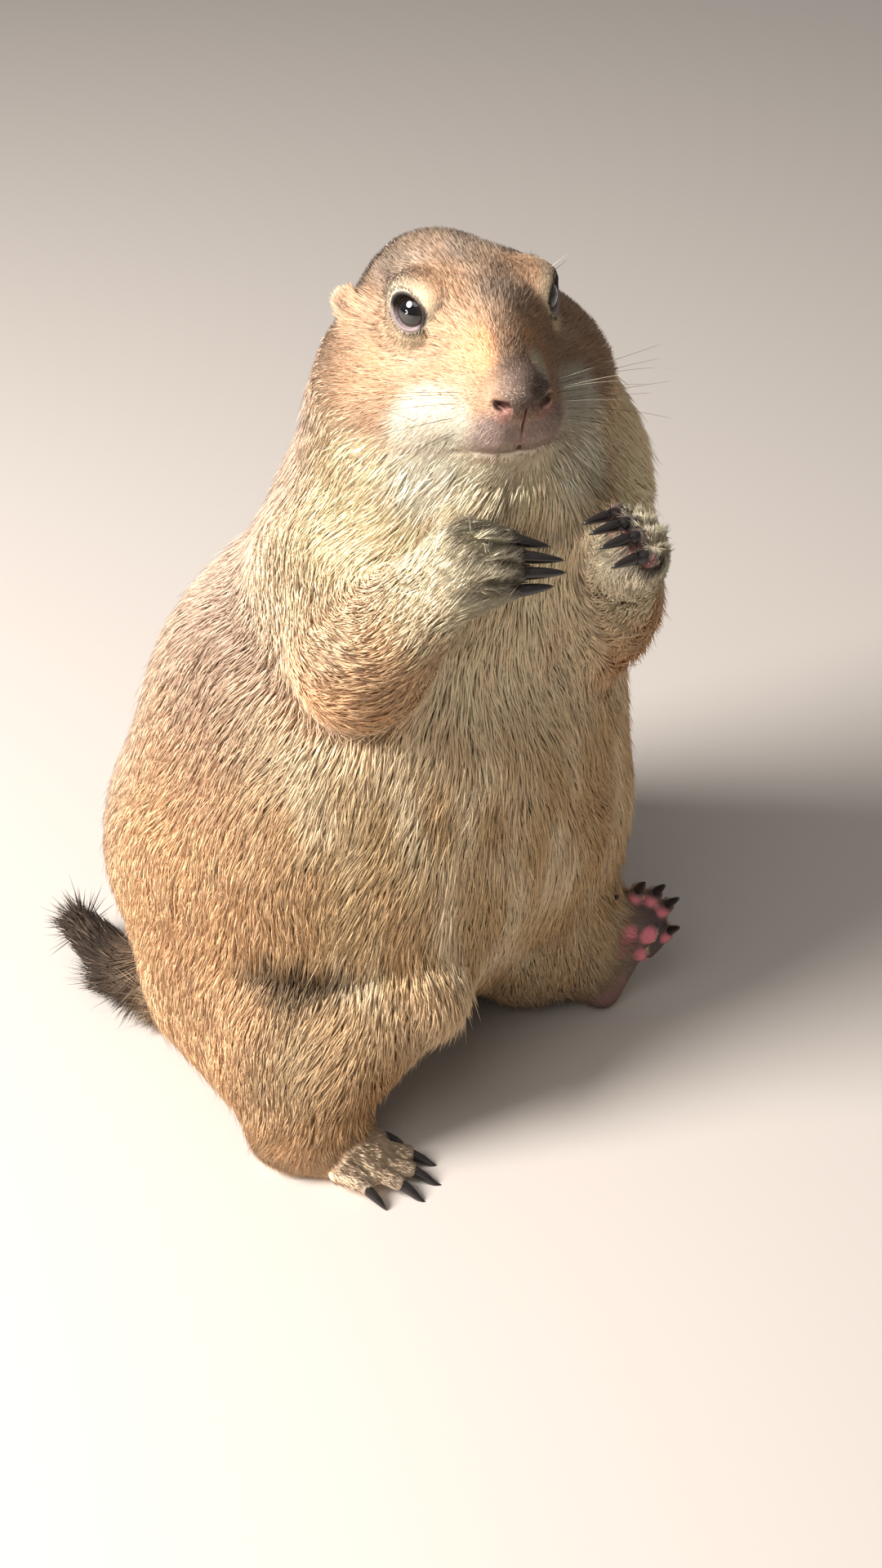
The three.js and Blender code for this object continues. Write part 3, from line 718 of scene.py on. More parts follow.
def dab(base, colour, share):
    """Lays the colour over the base by its share."""
    base += (colour - base) * np.clip(share, 0, 1)[..., None]


def spot(h, centre, radius, fade, squash=(1, 1, 1)):
    """One inside a round patch of the head, fading to nought at its edge."""
    return smooth(radius + fade, radius, norm((h - centre) * squash))


def streaked(p, out, digit):
    """One on the dark streak along the back of a finger or toe."""
    joints = np.array(digit["joints"])
    way = unit(joints[-1] - joints[0])
    aside = np.abs((p - joints[0]) @ unit(np.cross(way, digit["out"])) + 0.5 * (noise(p, 3, 12) - 0.5))
    along = (p - joints[0]) @ way
    on_back = smooth(-0.1, 0.4, out @ digit["out"])
    return smooth(1.5, 1.0, aside) * smooth(-11, -7, along) * on_back


def face_marking(p):
    """The colour of the head and ears, and how much of it is ticked."""
    h = in_head(p)
    aside, y, z = np.abs(h[..., 0]), h[..., 1], h[..., 2]
    face = np.broadcast_to(TAN, p.shape).copy()
    crown = smooth(2, 11, z) * smooth(-36, -22, y)
    dab(face, CROWN, crown)
    ticks = 0.16 + 0.4 * crown
    dab(face, BROW, smooth(0.45, 0.75, noise(p, 5, 9)) * 0.35 * smooth(-16, -6, z))
    for side in SIDES.values():
        dab(face, BROW, spot(h, (side * 13, -17, 13), 4, 9) * 0.85)
        dab(face, RUST, spot(h, (side * 7, -33, 0), 3, 8) * 0.55)
        dab(face, BROW, spot(h, (side * 27, -8, -12), 5, 12, (1, 1, 1.6)) * 0.4)
        cheek = spot(h, (side * 18.5, -28.5, -21.5), 8.5, 6.5) * (0.85 + 0.15 * noise(p, 3, 16))
        dab(face, WHITE, cheek)
        ticks *= 1 - cheek
        dab(face, CREAM, spot(h, (side * 20, -18, -2), 2, 5) * 0.25)
    chin = smooth(-21, -27, z) * smooth(12, -8, y)
    dab(face, CREAM, chin)
    dab(face, WHITE, spot(h, (0, -27, -30), 8, 10) * 0.7)
    ticks *= 1 - chin
    dab(face, BACK, smooth(6, 22, y) * smooth(-16, -4, z))
    bridge = smooth(5.5, 2, aside) * smooth(-24, -33, y) * smooth(-15, -9, z)
    dab(face, NOSE_GREY, bridge * 0.6)
    nose = spot(h, (0, -38, -8), 5.5, 4)
    dab(face, NOSE_GREY, nose * 0.8)
    ticks = np.maximum(ticks, 0.45 * np.maximum(nose, bridge))
    # Painted highlight: a small cream spot on the left side of the nose
    dab(face, CREAM, spot(h, (6.4, -35.5, -4), 1.5, 2.2, (1, 0.55, 0.55)) * 0.85)
    for side in SIDES.values():
        dab(face, LIP_PINK, spot(h, (side * 5.5, -36.5, -19.5), 4.5, 4) * 0.8)
        dab(face, PINK, spot(h, (side * 5.2, -40, -13.4), 1.4, 2.4) * 0.6)
        # Painted shade: dark red in the nostril openings
        dab(face, NOSTRIL_SHADE, spot(h, (side * 6.3, -40.6, -11.6), 1.7, 1.3, (0.8, 1, 1.6)))
    philtrum = smooth(0.8, 0.3, aside) * smooth(-34, -38, y) * smooth(-11, -14, z)
    dab(face, DEEP_PINK, philtrum * smooth(-25, -23, z) * 0.7)
    lips = smooth(1.2, 0.4, np.abs(z - LIP_LEVEL)) * smooth(-18, -24, y)
    dab(face, DEEP_PINK, lips * 0.6)
    for name in SIDES:
        off, oval = at_eye(name, p)
        seen = smooth(-6, -2, off[..., 1])
        # A pale ring round each eye, its own colour, laid stronger as painted light against the shade below
        # the eye
        dab(face, CREAM, smooth(2.3, 1.4, oval) * seen * 0.6)
        ticks *= 1 - smooth(2.8, 1.6, oval) * seen
        dab(face, RIM, smooth(1.3, 1.12, oval) * seen)
        dab(face, LIP_PINK, smooth(1.2, 1.02, oval) * seen * smooth(-0.5, -2.5, off[..., 2]) * 0.7)
        # Painted shade: dark in the hollow of each ear cup
        dab(face, DARK, smooth(3.6, 2.2, from_cup(name, p)) * 0.8)
    return face, ticks


def marking(p, out, shares):
    """The coat's colour at each point, and how much of it is ticked with dark hairs."""
    p = np.asarray(p, float)
    facing, z = out[..., 1], p[..., 2]
    names = ("upper_arm", "forearm", "hand", "thigh", "shin", "foot", "tail")
    arm, fore, hand, thigh, shin, foot, tail = (share_of(shares, name) for name in names)
    front = smooth(0.15, -0.85, facing + 0.3 * np.abs(out[..., 0]))
    flank = smooth(165, 95, z) * smooth(0.75, 0.1, facing)
    colour = np.broadcast_to(BACK, p.shape).copy()
    ticks = np.full(p.shape[:-1], 0.42)
    dab(colour, FLANK, flank * 0.95)
    ticks *= 1 - 0.6 * flank
    dab(colour, BELLY, front)
    dab(colour, CREAM, front * smooth(118, 150, z) * 0.8)
    ruff = smooth(168, 192, z) * smooth(0.65, -0.1, facing)
    dab(colour, RUFF, ruff)
    ticks *= 1 - 0.85 * np.maximum(front, ruff)
    streak = noise(p * [1, 1, 0.35], 7, 3)
    dab(colour, CREAM, front * smooth(0.5, 0.8, streak) * 0.6)
    dab(colour, SHIN_BROWN, front * smooth(0.45, 0.15, streak) * 0.35)

    dab(colour, RUFF, arm * 0.7 + fore * 0.6)
    rough = 8 * (noise(p, 7, 17) - 0.5)
    elbows = [smooth(32, 8, norm(p - ELBOW[name] - [0, 0, -6]) + rough) for name in SIDES]
    dab(colour, RUST, np.maximum(*elbows) * (arm * 0.7 + fore) * 0.85)
    wrists = [smooth(30, 9, norm(p - WRIST[name])) for name in SIDES]
    dab(colour, CREAM, np.maximum(*wrists) * (fore + hand))
    ticks *= 1 - 0.8 * (arm + fore)

    dab(colour, THIGH_CREAM, thigh * 0.85 * smooth(0.1, -0.6, facing))
    dab(colour, SHIN_BROWN, shin * smooth(60, 25, z))
    dab(colour, TOE_TAN, foot)
    ticks = ticks * (1 - 0.7 * (thigh + shin)) * (1 - foot)
    # Painted shade: dark hair in the crease between the belly and the right thigh
    crease_shade = norm((p - [-55, -45, 67]) * [0.65, 0.9, 1.6]) + 5 * (noise(p, 6, 14) - 0.5)
    dab(colour, DARK, smooth(19, 4, crease_shade) * 0.85)
    # Painted shade under the chin, on the throat
    throat = norm((p - [8, -66, 196]) * [0.55, 1, 1.6]) + 6 * (noise(p, 4, 15) - 0.5)
    dab(colour, DARK, smooth(13, 2, throat) * (1 - arm - fore) * 0.5)

    dab(colour, HAND_CREAM, hand)
    for kind, part, strong in (("hand_", hand, 1.0), ("foot_", foot, 0.2)):
        for name in SIDES:
            for digit in DIGITS[kind + name]:
                dab(colour, BLACK, part * strong * streaked(p, out, digit))
                near = smooth(4.0, 2.6, norm(p - digit["joints"][-1]))
                dab(colour, BLACK, part * near * (0.3 + 0.5 * strong))
        ticks *= 1 - part
    for kind, axes in (("hand_left", HAND_AXES["left"]), ("foot_left", FOOT_AXES["left"])):
        dab(colour, SOLE_GREY, share_of(shares, kind) * smooth(-0.05, 0.4, -(out @ axes[2])))
    heel = smooth(9, 5, norm(p - (HEEL["left"] + [-2, -5, 4])))
    dab(colour, HEEL_PINK, heel * share_of(shares, "foot_left") * 0.8)
    for at, radius, axes in PADS:
        off = (p - at) @ axes.T
        pad = smooth(radius + 0.7, radius - 0.4, norm(off * [1, 0.9, 1.2]))
        dab(colour, PAD_PINK, pad * smooth(0.5, -0.3, off[..., 2]))

    dab(colour, BLACK, tail * smooth(14, 34, p[..., 1] + 5 * noise(p, 4, 8)) * 0.92)
    ticks = np.maximum(ticks, tail * 0.6)

    face, face_ticks = face_marking(p)
    skull = share_of(shares, "head", "ear")
    dab(colour, face, skull)
    ticks = ticks * (1 - skull) + face_ticks * skull
    for side in SIDES.values():
        jaw = spot(in_head(p), (side * 19, -27, -31), 5, 8) * (1 - arm - fore - hand)
        dab(colour, WHITE, jaw * 0.8)
        ticks *= 1 - jaw
    return colour, np.clip(ticks, 0, 1)


# The bake map: an unwrap of the skin's own shape, one chart to a region and a facing
CHART_AXES = np.array([[1, 2], [2, 0], [0, 1]])


def charts_of(p, out):
    region = shares_at(p).argmax(-1)
    axis = np.abs(out).argmax(-1)
    back = np.take_along_axis(out, axis[:, None], 1)[:, 0] < 0
    return region * 6 + axis * 2 + back


def flat_on(p, chart):
    axes = CHART_AXES[chart % 6 // 2]
    return np.take_along_axis(np.asarray(p, float), axes, -1)


def packed(chart, flat):
    """Each chart's low corner and its place on the square map, on shelves, at one scale for all."""
    sizes = []
    for c in np.unique(chart):
        low, high = flat[chart == c].min(0), flat[chart == c].max(0)
        sizes.append((c, low - 1, high - low + 2))
    sizes.sort(key=lambda row: -row[2][1])
    scale, gap, edge = 1 / 500, 0.004, 0.996
    while True:
        u = v = shelf = gap
        places = {}
        for c, low, size in sizes:
            w, h = size * scale
            if u + w > edge:
                u, v, shelf = gap, v + shelf, gap
            places[c] = (low, np.array([u, v]))
            u += w + gap
            shelf = max(shelf, h + gap)
        if v + shelf < edge:
            return places, scale
        scale *= 0.97


CENTRE = SKIN[SKIN_FACES].mean(1)
FACE_OUT = slope_of(skin_field, CENTRE)
FACE_CHART = charts_of(CENTRE, FACE_OUT)
CORNERS = SKIN[SKIN_FACES]
CORNER_FLAT = np.stack([flat_on(CORNERS[:, i], FACE_CHART) for i in range(3)], 1)
PLACES, MAP_SCALE = packed(FACE_CHART.repeat(3), CORNER_FLAT.reshape(-1, 2))
PLACE_LOW = np.zeros((len(REGIONS) * 6, 2))
PLACE_AT = np.zeros((len(REGIONS) * 6, 2))
for c, (low, at) in PLACES.items():
    PLACE_LOW[c], PLACE_AT[c] = low, at


def on_map(flat, chart):
    return (flat - PLACE_LOW[chart]) * MAP_SCALE + PLACE_AT[chart]


# Meshes
EYE_BOX = np.array(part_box("eye_right"))
SHIFT = EYE_BOX.sum(0) * 500 - EYE["right"]


def mesh_object(title, points, faces, material, colours=None, uvs=None):
    """A smooth mesh from arrays in millimetres, riding on the body."""
    mesh = bpy.data.meshes.new(title)
    mesh.vertices.add(len(points))
    mesh.vertices.foreach_set("co", ((np.asarray(points) + SHIFT) / 1000).astype(np.float32).ravel())
    mesh.loops.add(len(faces) * 3)
    mesh.loops.foreach_set("vertex_index", np.asarray(faces, np.int32).ravel())
    mesh.polygons.add(len(faces))
    mesh.polygons.foreach_set("loop_start", np.arange(0, len(faces) * 3, 3, dtype=np.int32))
    mesh.polygons.foreach_set("use_smooth", np.ones(len(faces), bool))
    mesh.update(calc_edges=True)
    if colours is not None:
        layer = mesh.color_attributes.new("coat_colour", "FLOAT_COLOR", "POINT")
        rgba = np.concatenate([colours, np.ones((len(points), 1))], 1).astype(np.float32)
        layer.data.foreach_set("color", rgba.ravel())
    if uvs is not None:
        layer = mesh.uv_layers.new(name="OFBake")
        layer.uv.foreach_set("vector", np.asarray(uvs, np.float32).ravel())
    mesh.materials.append(material)
    made = bpy.data.objects.new(title, mesh)
    bpy.context.scene.collection.objects.link(made)
    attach(made, "root")
    return made


# Materials
def add_node(made, kind, **sockets):
    node = made.node_tree.nodes.new("ShaderNode" + kind)
    for socket, value in sockets.items():
        node.inputs[socket].default_value = value
    return node


def material(title, roughness, coloured=True, colour=(0.5, 0.5, 0.5), **sockets):
    made = bpy.data.materials.new(title)
    made.use_nodes = True
    shader = made.node_tree.nodes["Principled BSDF"]
    shader.inputs["Roughness"].default_value = roughness
    for socket, value in sockets.items():
        shader.inputs[socket.replace("_", " ")].default_value = value
    if coloured:
        source = add_node(made, "VertexColor")
        source.layer_name = "coat_colour"
        made.node_tree.links.new(source.outputs["Color"], shader.inputs["Base Color"])
    else:
        shader.inputs["Base Color"].default_value = (*colour, 1)
    return made


def with_bump(made, scale, strength, distance, stretch=(1, 1, 1)):
    links = made.node_tree.links
    where = add_node(made, "TexCoord")
    turn = add_node(made, "Mapping", Scale=stretch)
    grain = add_node(made, "TexNoise", Scale=scale, Detail=3)
    bump = add_node(made, "Bump", Strength=strength, Distance=distance)
    links.new(where.outputs["Object"], turn.inputs["Vector"])
    links.new(turn.outputs["Vector"], grain.inputs["Vector"])
    links.new(grain.outputs["Fac"], bump.inputs["Height"])
    links.new(bump.outputs["Normal"], made.node_tree.nodes["Principled BSDF"].inputs["Normal"])
    return made


SKIN_LOOK = with_bump(material("prairie_dog_skin", 0.72), 1400, 0.5, 0.0004)
FUR_LOOK = material("prairie_dog_fur", 0.62, Specular_IOR_Level=0.25)
CLAW_LOOK = with_bump(material("prairie_dog_claw", 0.3, Coat_Weight=0.25), 900, 0.25, 0.0002, (1, 1, 0.2))
EYE_LOOK = material("prairie_dog_eye", 0.06, Coat_Weight=1.0, Coat_Roughness=0.02)
WHISKER_LOOK = material("prairie_dog_whisker", 0.4)

# The skin, in one piece over every node of flesh
FLESH = [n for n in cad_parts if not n.startswith("eye_")]
SKIN_SHARES = shares_at(SKIN)
SKIN_COLOUR, _ = marking(SKIN, SKIN_OUT, SKIN_SHARES)
# Painted shade: the skin under the coat is darkened to 0.7 on the body, a little on the head, and not at all
# on the hands and feet
bare = np.maximum(share_of(SKIN_SHARES, "hand", "foot"), share_of(SKIN_SHARES, "head", "ear") * 0.7)
SKIN_COLOUR = SKIN_COLOUR * (0.7 + 0.3 * bare)[:, None]
skin_uv = np.stack([on_map(CORNER_FLAT[:, i], FACE_CHART) for i in range(3)], 1)
skin = mesh_object("skin", SKIN, SKIN_FACES, SKIN_LOOK, SKIN_COLOUR, skin_uv)
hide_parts(*FLESH)


# The coat: closed tapered tufts over the skin, following the lie of the hair
def growth_at(p, out, shares):
    """How much of the coat grows at each point, from nought on bare skin to one."""
    h = in_head(p)
    aside, y, z = np.abs(h[:, 0]), h[:, 1], h[:, 2]
    grows = np.ones(len(p))
    for name, side in SIDES.items():
        off, oval = at_eye(name, p)
        grows[(oval < 1.12) & (off[:, 1] > -7)] = 0
        grows[from_cup(name, p) < 2.6] *= 0.2
        grows[norm(h - [side * 6.2, -41, -11.4]) < 2.6] = 0
        for kind, axes, under in (("hand_", HAND_AXES, -0.35), ("foot_", FOOT_AXES, -0.1)):
            grows[(share_of(shares, kind + name) > 0.5) & (out @ axes[name][2] < under)] = 0
            for digit in DIGITS[kind + name]:
                grows[norm(p - digit["joints"][-1]) < 2.4] = 0
    grows[(np.abs(z - LIP_LEVEL) < 0.8) & (y < -20) & (aside < 14)] = 0
    grows[(aside < 0.7) & (y < -36) & (z < -12) & (z > -24)] = 0
    grows[(out[:, 2] < -0.8) & (p[:, 2] < 1.5)] = 0
    return grows


# Length and width of a tuft on each part; the trunk's and the head's are worked out
TUFT_SIZES = {
    "ear": (1.3, 0.24), "upper_arm": (10.0, 0.42), "forearm": (8.0, 0.4), "hand": (2.4, 0.27),
    "thigh": (11.0, 0.43), "shin": (7.6, 0.4), "foot": (2.8, 0.29), "tail": (15.0, 0.5),
}


def coat_sizes(p, out, shares):
    """Length and width of the tufts that grow at each point."""
    h = in_head(p)
    length = 11.0 + 3.0 * smooth(0.2, -0.6, out[:, 1])
    width = np.full(len(p), 0.43)
    head_part = share_of(shares, "head")
    from_nose = norm(p - head(0, -38, -9))
    face = 1.2 + 2.8 * smooth(5, 26, from_nose) + 4.4 * smooth(30, 62, from_nose)
    face = np.where((h[:, 2] > 6) & (h[:, 1] < 12), np.minimum(face, 4.2), face)
    for name in SIDES:
        face = np.minimum(face, 1.6 + 0.6 * np.maximum(norm(p - LID[name]) - 5, 0))
    face = np.minimum(face, 0.9 + 0.25 * np.maximum(norm(h - [0, -32, -22]) - 6, 0))
    length = length + (face - length) * head_part
    for name, (long, wide) in TUFT_SIZES.items():
        part = share_of(shares, name)
        length = length + (long - length) * part
        width = width + (wide - width) * part
    width = width + (0.17 + 0.05 * face - width) * head_part
    return length, width


def roots_on(count, weight):
    """Evenly drawn places on the skin, more where the weight is larger."""
    a, b, c = (SKIN[SKIN_FACES[:, i]].astype(float) for i in range(3))
    area = norm(np.cross(b - a, c - a)) / 2 * weight
    total = np.cumsum(area)
    drawn = (np.arange(count) + RNG.random(count)) / count * total[-1]
    face = np.minimum(np.searchsorted(total, drawn), len(SKIN_FACES) - 1)
    r, s = RNG.random(count), RNG.random(count)
    flip = r + s > 1
    r, s = np.where(flip, 1 - r, r)[:, None], np.where(flip, 1 - s, s)[:, None]
    p = a[face] + (b[face] - a[face]) * r + (c[face] - a[face]) * s
    out = SKIN_OUT[SKIN_FACES[face]].mean(1)
    return p, units(out), face


def lie_at(p, out, shares):
    way = np.zeros(p.shape)
    for i, (_, _, flow) in enumerate(REGIONS):
        way += shares[:, i:i + 1] * flow(p)
    way -= out * (way * out).sum(-1, keepdims=True)
    return units(way)


def lifted(points, out, height, most):
    """The points moved along the skin's own slope at the root until they stand at the height."""
    low = height - skin_field(points.astype(np.float32))
    return points + out * np.clip(low, -1.5, most)[:, None]


def tufts(title, p, out, face, joints, clump):
    """Closed three-sided tufts on given roots: a bent spindle where joints is 2, a spike where it is 1."""
    n = len(p)
    shares = shares_at(p)
    colour, ticks = marking(p, out, shares)
    length, width = coat_sizes(p, out, shares)
    way = lie_at(p, out, shares)
    across = np.cross(out, way)
    sway = (noise(p, 18, 1) - 0.5) * 0.9 + (noise(p, 6, 2) - 0.5) * 0.5 + RNG.normal(0, 0.12, n)
    way, across = (
        way * np.cos(sway)[:, None] + across * np.sin(sway)[:, None],
        across * np.cos(sway)[:, None] - way * np.sin(sway)[:, None],
    )
    guard = (RNG.random(n) < GUARD_SHARE) & (joints == 2)
    length = length * RNG.uniform(0.7, 1.15, n) * np.where(guard, 1.25, 1)
    width = width * RNG.uniform(0.75, 1.25, n) * np.where(guard, 0.7, 1)
    tail = share_of(shares, "tail")
    height = np.minimum(np.maximum(depth_at(p), 0.4), 0.5 * length) * RNG.uniform(0.35, 1.05, n)
    height = height * np.where(guard, 1.35, 1)
    if joints == 1:
        height = np.maximum(height, 0.25 + length ** 2 / 75)
    height = height + (4.6 * RNG.uniform(0.2, 1.1, n) - height) * tail * smooth(12, 40, p[:, 1])
    height = np.where(p[:, 2] < 5, np.minimum(height, 0.3 + 0.2 * p[:, 2]), height)
    cell = np.floor(p / clump)
    shift = np.stack([noise(cell * 9.7, 1.3, seed) for seed in (21, 22, 23)], -1) - 0.5
    heart = (cell + 0.5 + 0.5 * shift) * clump
    gather = (heart - p) * smooth(1, 4.5, length)[:, None]
    gather -= out * (gather * out).sum(-1, keepdims=True)
    reach = np.sqrt(np.maximum(length ** 2 - height ** 2, 0.01))[:, None]
    tip = p + way * reach + out * height[:, None] + gather * 0.36
    tip = lifted(tip, out, height, 3.0)
    rise = out * (width * 0.5)[:, None]
    half = across * (width * 0.5)[:, None]
    if joints == 2:
        middle = p + way * reach * 0.42 + out * (height * 0.7)[:, None] + gather * 0.1
        middle = lifted(middle, out, height * 0.65, 2.0)
        base = p - out * 0.5
        points = np.stack([base, middle - half, middle + half, middle + rise, tip], 1)
    else:
        base = p - out * 0.3
        points = np.stack([base - half, base + half, base + rise * 1.4, tip], 1)
    points[..., 2] = np.maximum(points[..., 2], 0.2 + 0.15 * RNG.random((n, 1)))

    light = RNG.normal(1, 0.07, n)[:, None]
    own = colour * light * (0.88 + 0.24 * noise(p, 4, 6))[:, None]
    ticked = RNG.random(n) < ticks * 0.55
    pale = ~ticked & (RNG.random(n) < (0.25 + 0.25 * ticks) * smooth(0.06, 0.2, colour[:, 1]))
    under = own * 0.76
    mid = np.where(ticked[:, None], own * 0.7 + TICK * 0.2, own)
    end = np.where(pale[:, None], own * 0.45 + CREAM * 0.55, own * 1.06)
    end = np.where(ticked[:, None], TICK * light, end)
    tail_mark = (tail * smooth(16, 36, p[:, 1]))[:, None]
    tail_end = BLACK + (BACK * 0.6 - BLACK) * (RNG.random((n, 1)) < PALE_TAIL_SHARE)
    end = end * (1 - tail_mark) + tail_end * tail_mark
    stack = [under] + [mid] * 3 + [end] if joints == 2 else [under] * 3 + [end]
    colours = np.clip(np.stack(stack, 1), 0.003, 0.95)

    if joints == 2:
        one = np.array([[0, 2, 1], [0, 3, 2], [0, 1, 3], [1, 2, 4], [2, 3, 4], [3, 1, 4]])
        across_uv = np.array([0.5, 0, 1, 0.5, 0.5])
        along_uv = np.array([0, 0.4, 0.4, 0.5, 1])
    else:
        one = np.array([[0, 2, 1], [0, 1, 3], [1, 2, 3], [2, 0, 3]])
        across_uv = np.array([0, 1, 0.5, 0.5])
        along_uv = np.array([0, 0, 0, 1])
    chart = FACE_CHART[face]
    root = on_map(flat_on(p, chart), chart)
    patch = np.stack([across_uv, along_uv], -1) - 0.5
    uv = root[:, None] + patch * PATCH
    order = np.argsort(shares.argmax(-1) * 1000 - p[:, 2], kind="stable")
    size = points.shape[1]
    per_piece = COAT_PIECE // len(one)
    for start in range(0, n, per_piece):
        chosen = order[start:start + per_piece]
        faces = (np.arange(len(chosen))[:, None, None] * size + one).reshape(-1, 3)
        mesh_object(
            f"{title}_{start // per_piece + 1}", points[chosen].reshape(-1, 3), faces, FUR_LOOK,
            colours[chosen].reshape(-1, 3), uv[chosen][:, one].reshape(-1, 2),
        )


CENTRE_SHARES = shares_at(CENTRE)
GROWS = growth_at(CENTRE, FACE_OUT, CENTRE_SHARES)
SHORT = share_of(CENTRE_SHARES, "head", "ear", "hand", "foot")
_, wide = coat_sizes(CENTRE, FACE_OUT, CENTRE_SHARES)
LONG_WEIGHT = GROWS * (1 - SHORT) * (1 + 2.5 * share_of(CENTRE_SHARES, "tail"))
SHORT_WEIGHT = GROWS * SHORT * (0.3 / wide) ** 1.3 * (1 - 0.5 * share_of(CENTRE_SHARES, "hand", "foot"))
tufts("coat", *roots_on(TUFTS["body"], LONG_WEIGHT), 2, 4.6)
tufts("coat_short", *roots_on(TUFTS["short"], SHORT_WEIGHT), 1, 2.4)


# Tubes with pointed ends: claws and whiskers
def tubes(rods, sides, flat=1.0):
    """Closed rods, each given as its path, its radius at each point, and the way its back faces."""
    points, faces = [], []
    for path, widths, up in rods:
        start = len(points)
        last = len(path) - 1
        for i in range(1, last):
            across, _, raised = frame_of(path[i + 1] - path[i - 1], up)
            for s in range(sides):
                a = 2 * math.pi * s / sides
                wide = across * math.cos(a) * widths[i]
                points.append(path[i] + wide + raised * math.sin(a) * widths[i] * flat)
        points += [path[0], path[last]]
        rings = last - 1
        first = start + rings * sides
        last_ring = first - sides
        for s in range(sides):
            t = (s + 1) % sides
            faces += [(first, start + s, start + t), (first + 1, last_ring + t, last_ring + s)]
            for i in range(rings - 1):
                a, b = start + i * sides, start + (i + 1) * sides
                faces += [(a + s, b + s, b + t), (a + s, b + t, a + t)]
    return np.array(points), np.array(faces)


for kind, looks in (("hand", FINGERS), ("foot", TOES)):
    for name in SIDES:
        rods = []
        for digit in DIGITS[kind + "_" + name]:
            rows = len(digit["claw"])
            widths = [looks[name]["claw"] * (1 - 0.88 * (s / (rows - 1)) ** 2.4) for s in range(rows)]
            rods.append((digit["claw"], widths, digit["out"]))
        points, faces = tubes(rods, 12, 1.2)
        points[:, 2] = np.maximum(points[:, 2], 0.1)
        shade = (0.75 + 0.5 * noise(points, 1.2, 4))[:, None]
        mesh_object(f"claws_{kind}_{name}", points, faces, CLAW_LOOK, BLACK * shade * 1.3)

# Eyes
for name in SIDES:
    rows, around = 36, 48
    angle = np.pi * np.arange(rows + 1)[:, None] / rows
    turn = 2 * np.pi * np.arange(around) / around
    ring = [np.sin(angle) * np.cos(turn), np.cos(angle) + 0 * turn, np.sin(angle) * np.sin(turn)]
    ring = np.stack(ring, -1)
    bulge = 1 + 0.035 * smooth(0.75, 1.0, ring[..., 1])
    points = (ring * bulge[..., None] * EYE_RADIUS).reshape(-1, 3) @ EYE_AXES[name] + EYE[name]
    faces = []
    for i in range(rows):
        for s in range(around):
            t = (s + 1) % around
            a, b = i * around, (i + 1) * around
            faces += [(a + s, a + t, b + t), (a + s, b + t, b + s)]
    off = np.arccos(np.clip(ring[..., 1].ravel(), -1, 1))[:, None]
    pupil, iris = paint(6, 5, 6), paint(38, 24, 16)
    shade = pupil + (iris - pupil) * smooth(0.45, 0.6, off) * smooth(1.15, 0.95, off)
    eye = mesh_object("eye_ball_" + name, points, np.array(faces), EYE_LOOK, shade)
    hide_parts("eye_" + name)

# Whiskers on the muzzle and over the eyes
rods, colours = [], []
SPOTS = [(8.5 + 1.6 * j, -35 + 3.2 * i + j, -12.5 - 2.4 * j) for i in range(4) for j in range(4)]
for name, side in SIDES.items():
    for k, (x, y, z) in enumerate(SPOTS + [(15, -19, 12), (17, -16, 12.5)]):
        near = settled(skin_field, [head(side * x, y, z)], -0.4, 6)[0]
        away = unit(slope_of(skin_field, near[None])[0] * 0.8 + np.array([side, 0.25, -0.15]) @ HEAD_AXES)
        if k >= len(SPOTS):
            away = unit(away + HEAD_AXES[2] * 0.3)
        reach = RNG.uniform(17, 36) if k < len(SPOTS) else RNG.uniform(6, 9)
        fall = RNG.uniform(0.1, 0.3) * HEAD_AXES[2] - RNG.uniform(0.1, 0.4) * HEAD_AXES[1]
        steps = 9
        share = np.arange(steps + 1) / steps
        path = [near + away * reach * t - fall * reach * t * t * 0.6 for t in share]
        rods.append((path, [0.08 * (1 - 0.7 * t) for t in share], HEAD_AXES[2] + 0.01))
        colours += [DARK if RNG.random() < 0.4 else WHITE * 0.9] * ((steps - 1) * 5 + 2)
points, faces = tubes(rods, 5)
mesh_object("whiskers", points, faces, WHISKER_LOOK, np.array(colours))

# Floor
bpy.ops.mesh.primitive_plane_add(size=14, location=(0, 0, 0))
floor = bpy.context.object
floor.name = "floor"
floor.data.materials.append(material("studio_floor", 0.85, False, paint(205, 196, 188)))


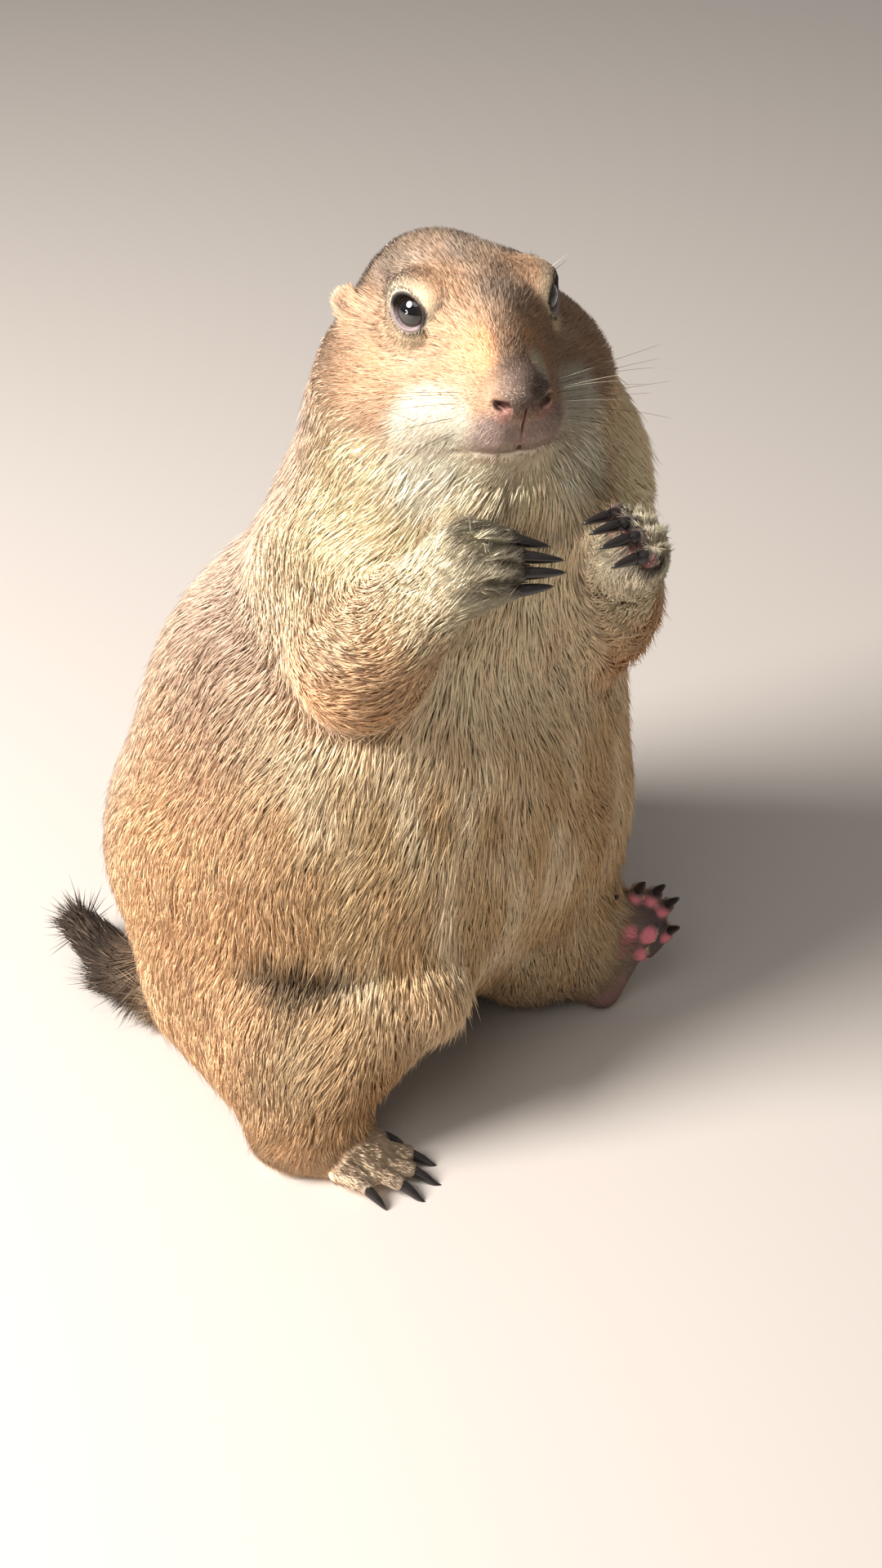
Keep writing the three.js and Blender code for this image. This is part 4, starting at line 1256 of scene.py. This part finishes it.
# Camera at the photograph's viewing angle
def put(made, axes, at):
    """A camera or light in the scene, from the directions of its right, its top and its back."""
    matrix = np.eye(4)
    matrix[:3, :3] = np.stack(axes, 1)
    matrix[:3, 3] = at
    made.matrix_world = Matrix(matrix.tolist())
    bpy.context.scene.collection.objects.link(made)


VIEW_AZIMUTH, VIEW_HEIGHT, VIEW_FAR = math.radians(-36), math.radians(35), 640
FOCAL_PIXELS, PHOTO_TALL, SENSOR = 2650, 1920, 36
AIM = np.array([0, 0, 120.0])
AIM_OFF = np.array([-20.05, 33.81])
right = np.array([math.cos(VIEW_AZIMUTH), math.sin(VIEW_AZIMUTH), 0])
level = np.array([math.sin(VIEW_AZIMUTH), -math.cos(VIEW_AZIMUTH), 0])
back = level * math.cos(VIEW_HEIGHT) + Z * math.sin(VIEW_HEIGHT)
up = np.cross(back, right)
place = AIM + back * VIEW_FAR - right * AIM_OFF[0] - up * AIM_OFF[1]
lens = bpy.data.cameras.new("camera")
lens.lens = FOCAL_PIXELS / PHOTO_TALL * SENSOR
lens.sensor_width = SENSOR
lens.clip_start = 0.02
lens.clip_end = 40
camera = bpy.data.objects.new("camera", lens)
put(camera, [right, up, back], (place + SHIFT) / 1000)
bpy.context.scene.camera = camera


# Soft studio light from the upper left, with a weak fill
def area_light(title, towards, far, size, energy, colour=(1, 1, 1)):
    data = bpy.data.lights.new(title, "AREA")
    data.shape = "DISK"
    data.size = size
    data.energy = energy
    data.color = colour
    made = bpy.data.objects.new(title, data)
    z = unit(towards)
    x = unit(np.cross(Z, z))
    put(made, [x, np.cross(z, x), z], z * far + [0, 0, 0.13])


area_light("key_light", -right * 1.0 + up * 0.42 + back * 0.85, 1.2, 0.6, 34, (1, 0.97, 0.94))
area_light("fill_light", -right * 0.25 + up * 0.4 + back, 1.6, 1.0, 5, (1, 0.98, 0.96))
world = bpy.data.worlds.new("studio")
world.use_nodes = True
backdrop = world.node_tree.nodes["Background"]
backdrop.inputs["Color"].default_value = (1, 0.98, 0.96, 1)
backdrop.inputs["Strength"].default_value = 0.24
bpy.context.scene.world = world
bpy.context.scene.view_settings.view_transform = "Standard"
